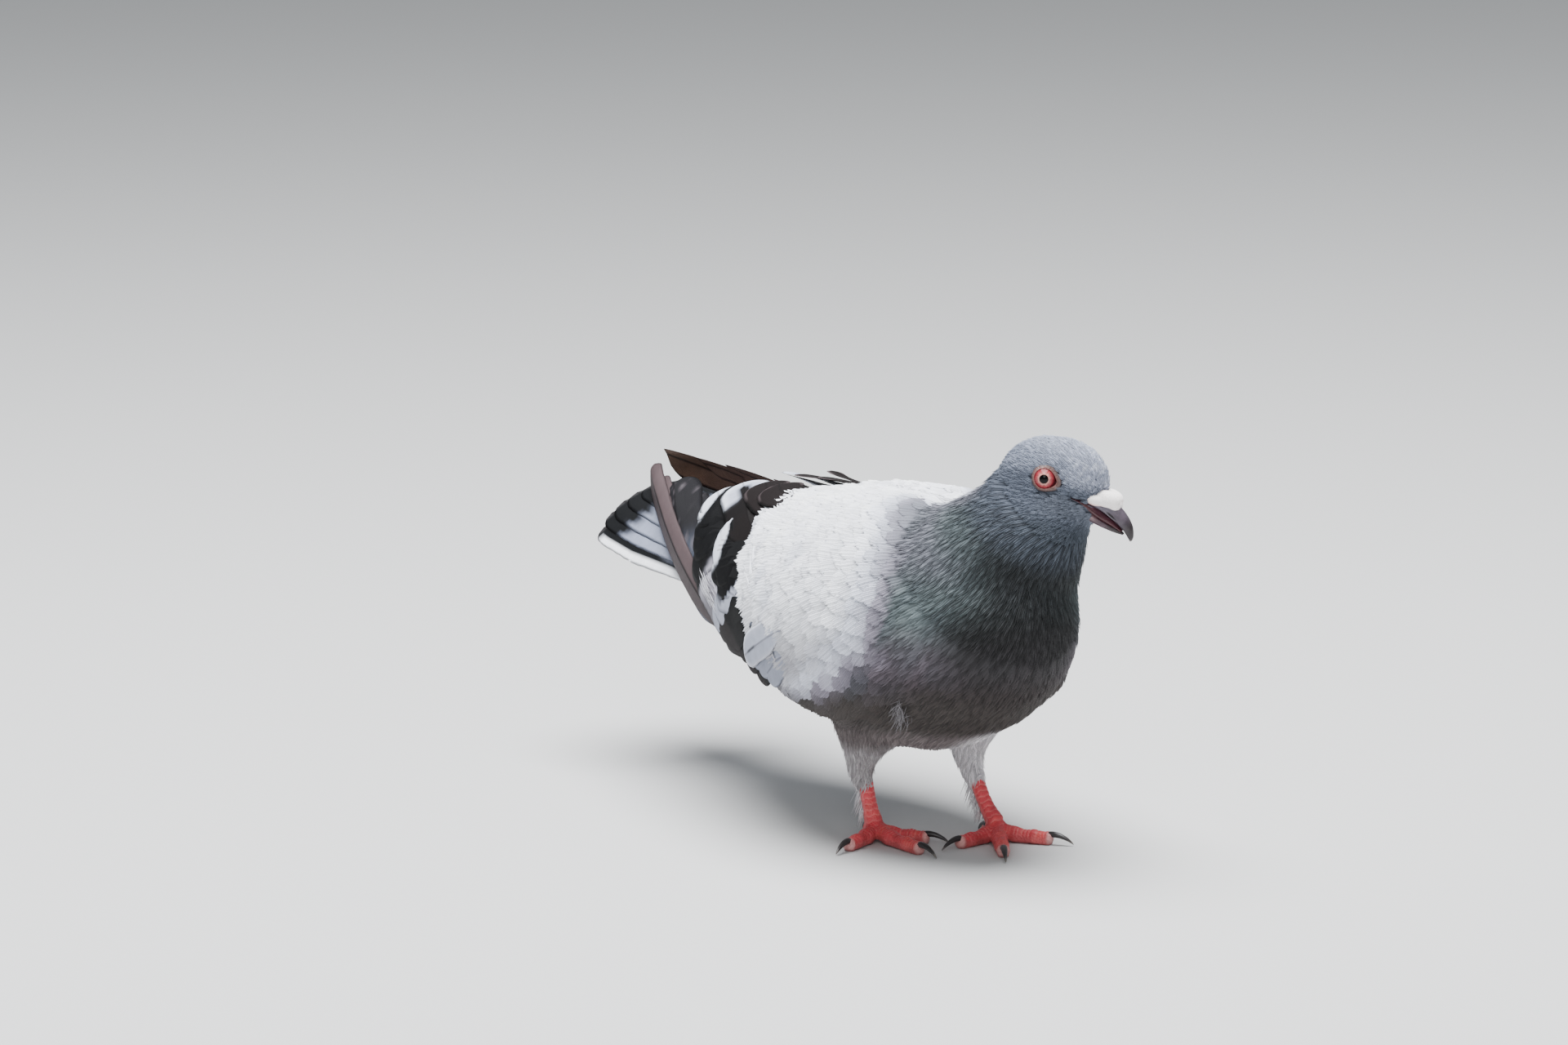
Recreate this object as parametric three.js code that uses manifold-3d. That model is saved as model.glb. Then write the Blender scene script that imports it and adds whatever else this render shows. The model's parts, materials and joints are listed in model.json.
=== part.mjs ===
// A life-size still model of a standing rock pigeon (Columba livia), after a stout, homer-like street bird.
// Millimetres, +Z up. The bird faces +X and its left side is +Y. It stands on flats under its toes.
// The trunk points straight ahead, and the neck and head are turned to the bird's left, with the bill a little open.
// Solids here are the outer shape of the plumage, parted with thin gaps where the parts of the body meet.
import * as THREE from "three";
import { mergeVertices } from "three/addons/utils/BufferGeometryUtils.js";
import Module from "manifold-3d";

const wasm = await Module();
wasm.setup();

// ---- Driving dimensions ----

const GAP = 0.35; // between neighbouring solids
const FACETING = 0.22; // how far the flat faces may stray from the true surface
const DEGREE = Math.PI / 180;

// Trunk, from the breast to the root of the tail: [x, half width, top, bottom].
const TRUNK = [
  [65, 0, 86, 86],
  [62, 12, 99, 72],
  [53, 24.5, 109, 58.5],
  [36, 35.5, 116, 46],
  [8, 43, 121, 34],
  [-22, 44.5, 120.5, 31.5],
  [-52, 39.5, 115.5, 38],
  [-82, 28.5, 107, 53],
  [-105, 19, 97, 67],
  [-122, 11, 90, 75],
  [-128, 0, 83, 83],
];
const WIDEST_SHARE = 0.5; // how far up each section of the trunk is widest

// Neck, from inside the breast to inside the head: [x, y, z, half width, half depth].
const NECK = [
  [18, 1, 84, 30, 29],
  [28, 2, 94, 34.5, 32],
  [39, 5, 106, 28.5, 26.5],
  [48, 9.5, 118, 21, 20.6],
  [52, 12.3, 129, 15.5, 15.8],
];

// Head, in its own frame: forward, right and up from the point between the eyes.
const HEAD_CENTRE = [57.2, 14.4, 135.9];
const HEAD_TURN = 39 * DEGREE; // to the bird's left of the trunk
const HEAD_DROOP = 19 * DEGREE; // below level
const HEAD = [
  // [forward, half width, top, bottom]
  [-18.8, 0, -1, -1],
  [-17, 7, 4.4, -8],
  [-10.5, 12, 10.2, -12.5],
  [0, 13.7, 13.3, -13.5],
  [8, 11.4, 12.8, -13.2],
  [14, 7.2, 9.6, -12.6],
  [17.2, 4.8, 5.2, -11.4],
  [18.8, 3, 1.4, -9],
  [19.2, 0, -3, -3],
];

// Bill, in the head's frame: [forward, up, half width, half height].
const BILL_UPPER = [
  [13, -3.4, 4.4, 2.6],
  [19, -3.6, 3.8, 2.9],
  [24, -5.2, 3.1, 2.8],
  [28, -7.6, 2.1, 2.2],
  [30.4, -9.8, 1.1, 1.4],
  [30.9, -11.2, 0.6, 0.6],
];
const BILL_LOWER = [
  [11.5, -8.3, 4, 1.6],
  [17, -9.1, 3.2, 1.4],
  [22.5, -10.4, 2, 1],
  [25.4, -11.3, 0.9, 0.6],
];
const CERE = { forward: 18, up: -1.3, side: 2.5, length: 6.2, width: 3.2, height: 2.8, tilt: 13 * DEGREE };

const EYE = { radius: 4.5, side: 9.6, forward: 0.2, up: 0 };

// The outer face of the folded wings: [x, half width, top, height of the widest place].
const WING_FACE = [
  [46, 27, 109, 84],
  [34, 35.5, 117.5, 83],
  [20, 43, 122.5, 81.5],
  [5, 48.5, 124, 79],
  [-15, 51.5, 123, 76],
  [-50, 49.5, 119, 70],
  [-85, 44.5, 113, 72],
  [-120, 37, 109, 79],
  [-150, 28, 107.5, 87],
  [-180, 17, 107, 96],
  [-200, 9, 106, 102],
];
const WING_UNDER = 58; // how far its section reaches below the widest place
const WING_INNER_EDGE = 6; // the two wings' inner edges lie this far from the midline
const SHIELD_THICKNESS = 12;
const QUILL_THICKNESS = 1.3; // of the layers of flight feathers

// Side outlines of the right wing, as [x, z].
const WING_FRONT = [[14, 128], [31, 114], [38, 96], [35, 76], [25, 58], [9, 48.5], [-7, 47.5], [-22, 51.5]];
const COVERT_EDGE = [[-22, 51.5], [-29, 66], [-43, 80], [-57, 95], [-60, 108], [-58, 134]];
const SECONDARY_EDGE = [[-37, 56.5], [-62, 72], [-101, 90.5], [-119, 102], [-122, 108], [-112, 134]];
const PRIMARY_LOWER = [[-22, 51.5], [-34, 55.5], [-53, 62], [-88, 69], [-120, 76], [-150, 85], [-180, 95], [-194, 98.5], [-197, 101.5]];
const PRIMARY_TIPS = { count: 5, first: [-130, 114], last: [-188, 108] };

// The left wing's tip lies over the right one's: how far it is carried across and up, and from where to where.
const CROSSING = { across: -11, up: 5, from: -100, to: -195 };

// Tail: twelve feathers in a shallow arch, the middle pair on top.
const TAIL = {
  feathers: 12,
  root: [-96, 0, 81.5],
  length: 104,
  rise: 15.5, // of the middle feathers, from root to tip
  halfRoot: 23.5,
  halfAngle: 5.6 * DEGREE,
  drop: 15.5, // of the edges below the middle
  cornerLoss: 9, // how much shorter the outermost feathers are
  roundness: 1.2, // of each feather's tip
  thickness: 1.1,
  step: 0.45, // each feather lies this far under the next
};

// Legs: the feathered thigh [x, y, z, half depth, half width], the bare shank, and the headings of the toes.
const FLOOR = -1.7; // its height in the frame of the numbers here
const LEGS = {
  right: {
    thigh: [
      [-10.7, -21.1, 52.7, 21, 14],
      [-15, -19.9, 42.3, 16.5, 11.5],
      [-20.2, -17.7, 33, 8.8, 7.4],
      [-25.5, -16.1, 24.6, 5.4, 4.9],
      [-25, -15, 17.4, 4, 3.8],
    ],
    ankle: [-25.2, -14.6, 20.4],
    foot: [-19.7, -13.1],
    toes: { inner: 46, middle: 6, outer: -58, hind: 166 },
  },
  left: {
    thigh: [
      [-7.7, 19.9, 53.7, 19, 13],
      [-11, 19.9, 42.3, 15, 11],
      [-14.2, 20.3, 33, 8.8, 7.4],
      [-15, 21, 24.6, 5.4, 4.9],
      [-11.2, 22, 17.4, 4, 3.8],
    ],
    ankle: [-13, 21.8, 20.4],
    foot: [-0.1, 24],
    toes: { inner: -75, middle: -25, outer: 43, hind: 172 },
  },
};
const SHANK_RADIUS = 2.6;
const TOE_LENGTH = { inner: 19, middle: 28, outer: 20, hind: 11 };
const CLAW_LENGTH = { inner: 7.5, middle: 8.5, outer: 7.5, hind: 6.5 };
const TOE_NAMES = { hind: 1, inner: 2, middle: 3, outer: 4 };
const TOE_RADIUS = 2.7;
const SOLE_HEIGHT = 2.15; // of a toe's centre line over the floor

const COLOURS = {
  head: 0x6f7683, neck: 0x586067, trunk: 0x8d8f98, coverts: 0xdfe0e4, secondaries: 0x3a3a3d,
  primaries: 0x77696a, tail: 0x6b707a, thigh: 0xcfcacb, foot: 0xc8414a, claw: 0x3a3735,
  bill: 0x3d3a41, cere: 0xf0dcd4, eye: 0xb4413a,
};

// ---- Making solids ----

// A smooth row through stations of numbers, at share t of the way along it.
function along(stations, t) {
  const last = stations.length - 1;
  const at = Math.min(Math.max(t, 0), 1) * last;
  const i = Math.min(Math.floor(at), last - 1);
  const u = at - i;
  const [a, b, c, d] = [-1, 0, 1, 2].map((k) => stations[Math.min(Math.max(i + k, 0), last)]);
  return b.map(
    (_, k) =>
      0.5 * (2 * b[k] + (c[k] - a[k]) * u + (2 * a[k] - 5 * b[k] + 4 * c[k] - d[k]) * u * u +
        (3 * b[k] - a[k] - 3 * c[k] + d[k]) * u * u * u),
  );
}

// A closed mesh as a solid, its faces turned outwards.
function solidOf(positions, triangles) {
  const build = (list) =>
    new wasm.Manifold(
      new wasm.Mesh({ numProp: 3, vertProperties: new Float32Array(positions.flat()), triVerts: new Uint32Array(list.flat()) }),
    );
  const made = build(triangles);
  return made.volume() > 0 ? made : build(triangles.map(([a, b, c]) => [a, c, b]));
}

// A solid from any closed three.js geometry.
function solidOfGeometry(geometry) {
  const bare = geometry.index ? geometry.toNonIndexed() : geometry.clone();
  bare.deleteAttribute("normal");
  bare.deleteAttribute("uv");
  const merged = mergeVertices(bare, 1e-4);
  const p = merged.attributes.position;
  const positions = Array.from({ length: p.count }, (_, i) => [p.getX(i), p.getY(i), p.getZ(i)]);
  const index = merged.index.array;
  const triangles = [];
  for (let i = 0; i < index.length; i += 3) {
    const [a, b, c] = index.slice(i, i + 3);
    if (a !== b && b !== c && a !== c) triangles.push([a, b, c]);
  }
  return solidOf(positions, triangles);
}

// A solid through rings of equal numbers of points, closed on a point at each end.
function loft(rings, firstTip, lastTip) {
  const n = rings[0].length;
  const positions = [firstTip, ...rings.flat(), lastTip];
  const end = positions.length - 1;
  const at = (ring, k) => 1 + ring * n + (k % n);
  const triangles = [];
  for (let k = 0; k < n; k++) {
    triangles.push([0, at(0, k + 1), at(0, k)]);
    triangles.push([end, at(rings.length - 1, k), at(rings.length - 1, k + 1)]);
    for (let r = 0; r + 1 < rings.length; r++) {
      triangles.push([at(r, k), at(r, k + 1), at(r + 1, k + 1)]);
      triangles.push([at(r, k), at(r + 1, k + 1), at(r + 1, k)]);
    }
  }
  return solidOf(positions, triangles);
}

// An oval of count points round a centre: half widths across, up and down, along two directions.
function oval(centre, sideways, upwards, across, up, down, count) {
  return Array.from({ length: count }, (_, k) => {
    const turn = (2 * Math.PI * k) / count;
    const s = across * Math.cos(turn);
    const v = Math.sin(turn) * (Math.sin(turn) > 0 ? up : down);
    return centre.map((c, i) => c + sideways[i] * s + upwards[i] * v);
  });
}

// Shares 0 to 1 that lie closer together at both ends, so that a loft's poles are round.
const eased = (count) => Array.from({ length: count }, (_, i) => (1 - Math.cos((Math.PI * (i + 1)) / (count + 1))) / 2);

// A tube through stations [x, y, z, half size, half size], with rounded ends, its rings square to its own line.
// across says which way the first half size is measured, and bulge how far each end rounds outwards.
function tube(stations, across, rings, count, { grow = 0, bulge = [0.6, 0.6] } = {}) {
  const sideOf = new THREE.Vector3(...across);
  const ring = (t, scale, push) => {
    const [x, y, z, a, b] = along(stations, t);
    const ahead = along(stations, t + 0.01);
    const behind = along(stations, t - 0.01);
    const line = new THREE.Vector3(...[0, 1, 2].map((k) => ahead[k] - behind[k])).normalize();
    const side = sideOf.clone().addScaledVector(line, -sideOf.dot(line)).normalize();
    const up = new THREE.Vector3().crossVectors(line, side);
    const centre = [x, y, z].map((c, k) => c + line.getComponent(k) * push * (Math.min(a, b) + grow));
    return oval(centre, side.toArray(), up.toArray(), (a + grow) * scale, (b + grow) * scale, (b + grow) * scale, count);
  };
  const cap = (t, way) => ring(t, 0.66, way * 0.75);
  const pole = (t, way) => ring(t, 0, way)[0];
  const [first, last] = bulge;
  const made = Array.from({ length: rings }, (_, i) => ring(i / (rings - 1), 1, 0));
  return loft([cap(0, -first), ...made, cap(1, last)], pole(0, -first), pole(1, last));
}

// A sheet under rows of points, thick enough to be solid.
function sheet(rows, thickness) {
  const [n, m] = [rows.length, rows[0].length];
  const upper = rows.flat();
  const positions = [...upper, ...upper.map(([x, y, z]) => [x, y, z - thickness])];
  const at = (i, j, under = 0) => i * m + j + under * n * m;
  const triangles = [];
  const patch = (a, b, c, d) => triangles.push([a, b, c], [a, c, d]);
  for (let i = 0; i + 1 < n; i++) {
    for (let j = 0; j + 1 < m; j++) {
      patch(at(i, j), at(i + 1, j), at(i + 1, j + 1), at(i, j + 1));
      patch(at(i, j, 1), at(i, j + 1, 1), at(i + 1, j + 1, 1), at(i + 1, j, 1));
    }
    patch(at(i, 0), at(i, 0, 1), at(i + 1, 0, 1), at(i + 1, 0));
    patch(at(i, m - 1), at(i + 1, m - 1), at(i + 1, m - 1, 1), at(i, m - 1, 1));
  }
  for (let j = 0; j + 1 < m; j++) {
    patch(at(0, j), at(0, j + 1), at(0, j + 1, 1), at(0, j, 1));
    patch(at(n - 1, j), at(n - 1, j, 1), at(n - 1, j + 1, 1), at(n - 1, j + 1));
  }
  return solidOf(positions, triangles);
}

// A side outline [x, z] pushed through the bird from y = from to y = to.
function slab(outline, from, to) {
  const shape = new THREE.Shape(outline.map(([x, z]) => new THREE.Vector2(x, z)));
  const geometry = new THREE.ExtrudeGeometry(shape, { depth: to - from, bevelEnabled: false });
  geometry.rotateX(Math.PI / 2).translate(0, to, 0);
  return solidOfGeometry(geometry);
}

// Points of a smooth line through corner points.
const smoothed = (points, count) => Array.from({ length: count + 1 }, (_, i) => along(points, i / count));

const mirrored = (solid) => solid.mirror([0, 1, 0]);

// ---- Trunk, neck and head ----

function trunkSolid(grow = 0) {
  const rings = eased(15).map((t) => {
    const [x, w, top, bottom] = along(TRUNK, t);
    const middle = bottom + (top - bottom) * WIDEST_SHARE;
    return oval([x, 0, middle], [0, 1, 0], [0, 0, 1], w + grow, top - middle + grow, middle - bottom + grow, 22);
  });
  const ends = [TRUNK[0], TRUNK[TRUNK.length - 1]];
  return loft(rings, [ends[0][0] + grow, 0, ends[0][2]], [ends[1][0] - grow, 0, ends[1][2]]);
}

const neckSolid = (grow = 0) => tube(NECK, [0, 1, 0], 8, 20, { grow });

// The head's own directions in the bird's frame.
const FORWARD = new THREE.Vector3(Math.cos(HEAD_TURN) * Math.cos(HEAD_DROOP), Math.sin(HEAD_TURN) * Math.cos(HEAD_DROOP), -Math.sin(HEAD_DROOP));
const RIGHT = new THREE.Vector3(Math.sin(HEAD_TURN), -Math.cos(HEAD_TURN), 0);
const UP = new THREE.Vector3().crossVectors(RIGHT, FORWARD);

function onHead(forward, right, up) {
  return new THREE.Vector3(...HEAD_CENTRE).addScaledVector(FORWARD, forward).addScaledVector(RIGHT, right).addScaledVector(UP, up).toArray();
}

function craniumSolid(grow = 0) {
  const rings = eased(11).map((t) => {
    const [f, w, top, bottom] = along(HEAD, t);
    const middle = (top + bottom) / 2;
    const half = (top - bottom) / 2 + grow;
    return oval(onHead(f, 0, middle), RIGHT.toArray(), UP.toArray(), w + grow, half, half, 18);
  });
  const ends = [HEAD[0], HEAD[HEAD.length - 1]];
  return loft(rings, onHead(ends[0][0] - grow, 0, ends[0][2]), onHead(ends[1][0] + grow, 0, ends[1][2]));
}

const billSolid = (stations, grow = 0) =>
  tube(stations.map(([f, u, w, h]) => [...onHead(f, 0, u), w, h]), RIGHT.toArray(), 6, 10, { grow });

function ellipsoid(centre, size, turn) {
  const geometry = new THREE.SphereGeometry(1, 10, 7);
  geometry.scale(...size);
  geometry.applyMatrix4(new THREE.Matrix4().makeBasis(...turn).setPosition(...centre));
  return solidOfGeometry(geometry);
}

function cereSolid(grow = 0) {
  const lobe = (side) =>
    ellipsoid(
      onHead(CERE.forward, side * CERE.side, CERE.up),
      [CERE.length + grow, CERE.width + grow, CERE.height + grow],
      [
        FORWARD.clone().addScaledVector(UP, Math.tan(CERE.tilt)).normalize(),
        RIGHT,
        UP.clone().addScaledVector(FORWARD, -Math.tan(CERE.tilt)).normalize(),
      ],
    );
  return lobe(1).add(lobe(-1));
}

const eyeSolid = (side, grow = 0) =>
  solidOfGeometry(
    new THREE.SphereGeometry(EYE.radius + grow, 12, 8).translate(...onHead(EYE.forward, side * EYE.side, EYE.up)),
  );

// A thin slice of space across a line, which parts two solids.
function slice(centre, direction, thickness = GAP) {
  const plate = new THREE.CylinderGeometry(90, 90, thickness, 24);
  const turn = new THREE.Quaternion().setFromUnitVectors(new THREE.Vector3(0, 1, 0), new THREE.Vector3(...direction).normalize());
  plate.applyQuaternion(turn).translate(...centre);
  return solidOfGeometry(plate);
}

const half = (centre, direction) => {
  const depth = 160;
  const away = new THREE.Vector3(...direction).normalize().multiplyScalar(depth / 2);
  return slice(centre.map((c, i) => c + away.toArray()[i]), direction, depth);
};

// ---- Legs ----

const overFloor = (solid) => solid.subtract(slice([0, 0, FLOOR - 20], [0, 0, 1], 40));

function thighSolid(leg, grow = 0) {
  return tube(leg.thigh, [1, 0, 0], 6, 12, { grow, bulge: [0.3, 0.3] });
}

function shankSolid(leg, grow = 0) {
  const [x, y] = leg.foot;
  const stations = [
    [...leg.ankle, SHANK_RADIUS, SHANK_RADIUS],
    [(leg.ankle[0] + x) / 2, (leg.ankle[1] + y) / 2, FLOOR + 12, SHANK_RADIUS, SHANK_RADIUS * 0.95],
    [x - 1.5, y, FLOOR + 6.4, SHANK_RADIUS * 1.25, SHANK_RADIUS * 1.25],
  ];
  return tube(stations, [1, 0, 0], 6, 12, { grow, bulge: [0.6, 0.3] });
}

// The points of a toe's line, and where its claw starts.
function toeLine(leg, toe) {
  const [x, y] = leg.foot;
  const turn = leg.toes[toe] * DEGREE;
  const length = TOE_LENGTH[toe];
  const at = (r, z) => [x + r * Math.cos(turn), y + r * Math.sin(turn), FLOOR + z];
  return { at, length };
}

function toeSolid(leg, toe) {
  const { at, length } = toeLine(leg, toe);
  const slim = toe === "hind" ? 0.88 : 1;
  const r = TOE_RADIUS * slim;
  const sole = SOLE_HEIGHT * slim;
  return tube(
    [
      [...at(0, 4.2), r, r],
      [...at(length * 0.3, sole + 0.5), r, r],
      [...at(length * 0.62, sole + 0.1), r * 0.9, r * 0.9],
      [...at(length * 0.94, sole), r * 0.92, r * 0.92],
    ],
    [0, 0, 1],
    4,
    8,
  );
}

function footSolid(leg) {
  const [x, y] = leg.foot;
  let foot = solidOfGeometry(new THREE.SphereGeometry(4, 10, 6).scale(1.15, 1, 0.9).translate(x - 0.6, y, FLOOR + 4.1));
  for (const toe of Object.keys(TOE_LENGTH)) foot = foot.add(toeSolid(leg, toe));
  return overFloor(foot).subtract(shankSolid(leg, GAP));
}

function clawSolid(leg, toe, foot) {
  const { at, length } = toeLine(leg, toe);
  const reach = CLAW_LENGTH[toe];
  const claw = tube(
    [
      [...at(length - 2.2, 3.1), 1.35, 1.2],
      [...at(length + reach * 0.3, 3.2), 1.15, 0.95],
      [...at(length + reach * 0.7, 2.2), 0.75, 0.6],
      [...at(length + reach, 0.7), 0.3, 0.3],
    ],
    [0, 0, 1],
    4,
    6,
  );
  const pulp = solidOfGeometry(new THREE.SphereGeometry(TOE_RADIUS + GAP, 10, 7).translate(...at(length - 2.2, SOLE_HEIGHT)));
  return overFloor(claw).subtract(pulp).subtract(foot);
}

// ---- Wings ----

// The outer face of both folded wings, drawn in by inset.
function wingBody(inset) {
  const rings = Array.from({ length: 17 }, (_, i) => {
    const [x, w, top, wide] = along(WING_FACE, i / 16);
    return oval([x, 0, wide], [0, 1, 0], [0, 0, 1], w - inset, top - wide - inset, WING_UNDER - inset, 28);
  });
  const ends = [WING_FACE[0], WING_FACE[WING_FACE.length - 1]];
  return loft(rings, [ends[0][0], 0, ends[0][3]], [ends[1][0], 0, ends[1][3]]);
}

// What the wings lie on: the trunk, the neck and the tops of the thighs.
let innards = trunkSolid(GAP).add(neckSolid(GAP));
for (const leg of Object.values(LEGS)) innards = innards.add(thighSolid(leg, GAP));

const shell = (outer, inner) => wingBody(outer).subtract(wingBody(inner));
const rightOf = (outline) => slab(outline, -120, -WING_INNER_EDGE);
const movedBack = (points, by) => points.map(([x, z]) => [x - by, z]);

function covertsSolid() {
  const outline = [...smoothed(WING_FRONT, 14), ...smoothed(COVERT_EDGE, 10).slice(1), [16, 140]];
  return shell(0, SHIELD_THICKNESS).intersect(rightOf(outline));
}

function secondariesSolid() {
  const front = movedBack(smoothed(COVERT_EDGE, 10), GAP + 0.1);
  const outline = [...front.reverse(), ...smoothed(SECONDARY_EDGE, 10)];
  return shell(0, QUILL_THICKNESS).intersect(rightOf(outline));
}

function primariesSolid() {
  const front = movedBack(smoothed(COVERT_EDGE, 10), GAP + 0.1).reverse();
  const tips = [];
  const { count, first, last } = PRIMARY_TIPS;
  for (let i = count - 1; i >= 0; i--) {
    const share = i / (count - 1);
    const [x, z] = [0, 1].map((k) => first[k] + (last[k] - first[k]) * share);
    tips.push([x - 3, z - 5], [x, z], [x + 6, z - 1.5]);
  }
  const outline = [...front, ...smoothed(PRIMARY_LOWER, 14).slice(1), ...tips, [-100, 134]];
  const outer = QUILL_THICKNESS + GAP + 0.15;
  return shell(outer, outer + QUILL_THICKNESS).intersect(rightOf(outline));
}

// The left wing's long feathers, bent across the midline towards their tips.
const crossed = (solid) =>
  solid.refineToLength(20).warp((p) => {
    const share = Math.min(Math.max((p[0] - CROSSING.from) / (CROSSING.to - CROSSING.from), 0), 1);
    p[1] += CROSSING.across * share * share;
    p[2] += CROSSING.up * share;
  });

// ---- Tail ----

// A point of the tail: share of the way across the fan, -1 to 1, and reach of the way to its end.
function onTail(share, layer, reach, shorter) {
  const outside = Math.abs(share) ** 6;
  const r = reach * (TAIL.length - TAIL.cornerLoss * outside - shorter);
  const halfWidth = TAIL.halfRoot + r * Math.tan(TAIL.halfAngle);
  const fall = TAIL.drop * Math.min(0.45 + reach * 0.7, 1) * share ** 2;
  const [x, y, z] = TAIL.root;
  return [x - r, y + share * halfWidth, z + TAIL.rise * reach - fall - layer * TAIL.step];
}

function tailSolid() {
  const columns = [];
  for (let i = 0; i < TAIL.feathers; i++) {
    for (const edge of [-1, 0, 1]) {
      const share = (2 * (i + 0.5 + edge * 0.498)) / TAIL.feathers - 1;
      const layer = Math.abs(i - (TAIL.feathers - 1) / 2) - 0.5;
      columns.push([share, layer, TAIL.roundness * edge ** 2]);
    }
  }
  const rows = [0, 0.35, 0.7, 0.93, 1].map((reach) =>
    columns.map(([share, layer, shorter]) => onTail(share, layer, reach, shorter)),
  );
  return sheet(rows, TAIL.thickness).subtract(innards);
}

// ---- Putting the bird together ----

const bird = new THREE.Group();

function add(name, solid, colour, roughness = 0.8) {
  const largest = (parts) => parts.reduce((a, b) => (a.volume() > b.volume() ? a : b));
  const whole = largest(solid.decompose());
  const made = largest(whole.simplify(FACETING).decompose()).getMesh();
  const geometry = new THREE.BufferGeometry();
  geometry.setAttribute("position", new THREE.BufferAttribute(new Float32Array(made.vertProperties), 3));
  geometry.setIndex(new THREE.BufferAttribute(new Uint32Array(made.triVerts), 1));
  geometry.computeVertexNormals();
  const mesh = new THREE.Mesh(geometry, new THREE.MeshStandardMaterial({ color: colour, roughness, metalness: 0 }));
  mesh.name = name;
  bird.add(mesh);
}

const eyes = [eyeSolid(1, GAP), eyeSolid(-1, GAP)];
const bills = [billSolid(BILL_UPPER, GAP), billSolid(BILL_LOWER, GAP)];
const body = trunkSolid().add(neckSolid()).add(craniumSolid());

// The neck runs between a slice behind the head and a slanting one over the shoulders.
const nape = onHead(-9.5, 0, -7);
const napeLine = [0.62, 0.3, 0.72];
const shoulder = [30, 1, 102];
const shoulderLine = [0.62, 0.08, 0.78];
const headPart = body.intersect(half(nape, napeLine)).subtract(slice(nape, napeLine));
const neckPart = body
  .subtract(half(nape, napeLine))
  .intersect(half(shoulder, shoulderLine))
  .subtract(slice(shoulder, shoulderLine));
const trunkPart = body.subtract(half(shoulder, shoulderLine));

let head = headPart;
for (const cut of [...eyes, ...bills, cereSolid(GAP)]) head = head.subtract(cut);
add("head", head, COLOURS.head);
add("neck", neckPart, COLOURS.neck, 0.5);
add("bill_upper", billSolid(BILL_UPPER), COLOURS.bill, 0.4);
add("bill_lower", billSolid(BILL_LOWER), COLOURS.bill, 0.4);
add("cere", cereSolid().subtract(bills[0]).subtract(bills[1]), COLOURS.cere);
add("eye_right", eyeSolid(1), COLOURS.eye, 0.1);
add("eye_left", eyeSolid(-1), COLOURS.eye, 0.1);

const wingParts = { coverts: covertsSolid(), secondaries: secondariesSolid(), primaries: primariesSolid() };
for (const [part, solid] of Object.entries(wingParts)) {
  const left = part === "coverts" ? mirrored(solid) : crossed(mirrored(solid));
  add(`wing_right_${part}`, solid.subtract(innards), COLOURS[part]);
  add(`wing_left_${part}`, left.subtract(innards), COLOURS[part]);
}

let trunk = trunkPart;
for (const [side, leg] of Object.entries(LEGS)) {
  trunk = trunk.subtract(thighSolid(leg, GAP));
  const shank = shankSolid(leg);
  const foot = footSolid(leg);
  add(`leg_${side}_thigh`, thighSolid(leg).subtract(shankSolid(leg, GAP)), COLOURS.thigh);
  add(`leg_${side}_shank`, shank, COLOURS.foot, 0.6);
  add(`leg_${side}_foot`, foot, COLOURS.foot, 0.6);
  for (const [toe, number] of Object.entries(TOE_NAMES)) {
    add(`leg_${side}_claw_${number}`, clawSolid(leg, toe, foot), COLOURS.claw, 0.4);
  }
}
add("trunk", trunk, COLOURS.trunk);
add("tail", tailSolid(), COLOURS.tail);

// The origin is on the floor, under the middle of the whole bird.
const middle = new THREE.Box3().setFromObject(bird).getCenter(new THREE.Vector3());
bird.position.set(-middle.x, -middle.y, -FLOOR);

export default bird;
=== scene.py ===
import json
import math

import bmesh
import bpy
import numpy as np
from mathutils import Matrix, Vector
from mathutils.bvhtree import BVHTree

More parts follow.
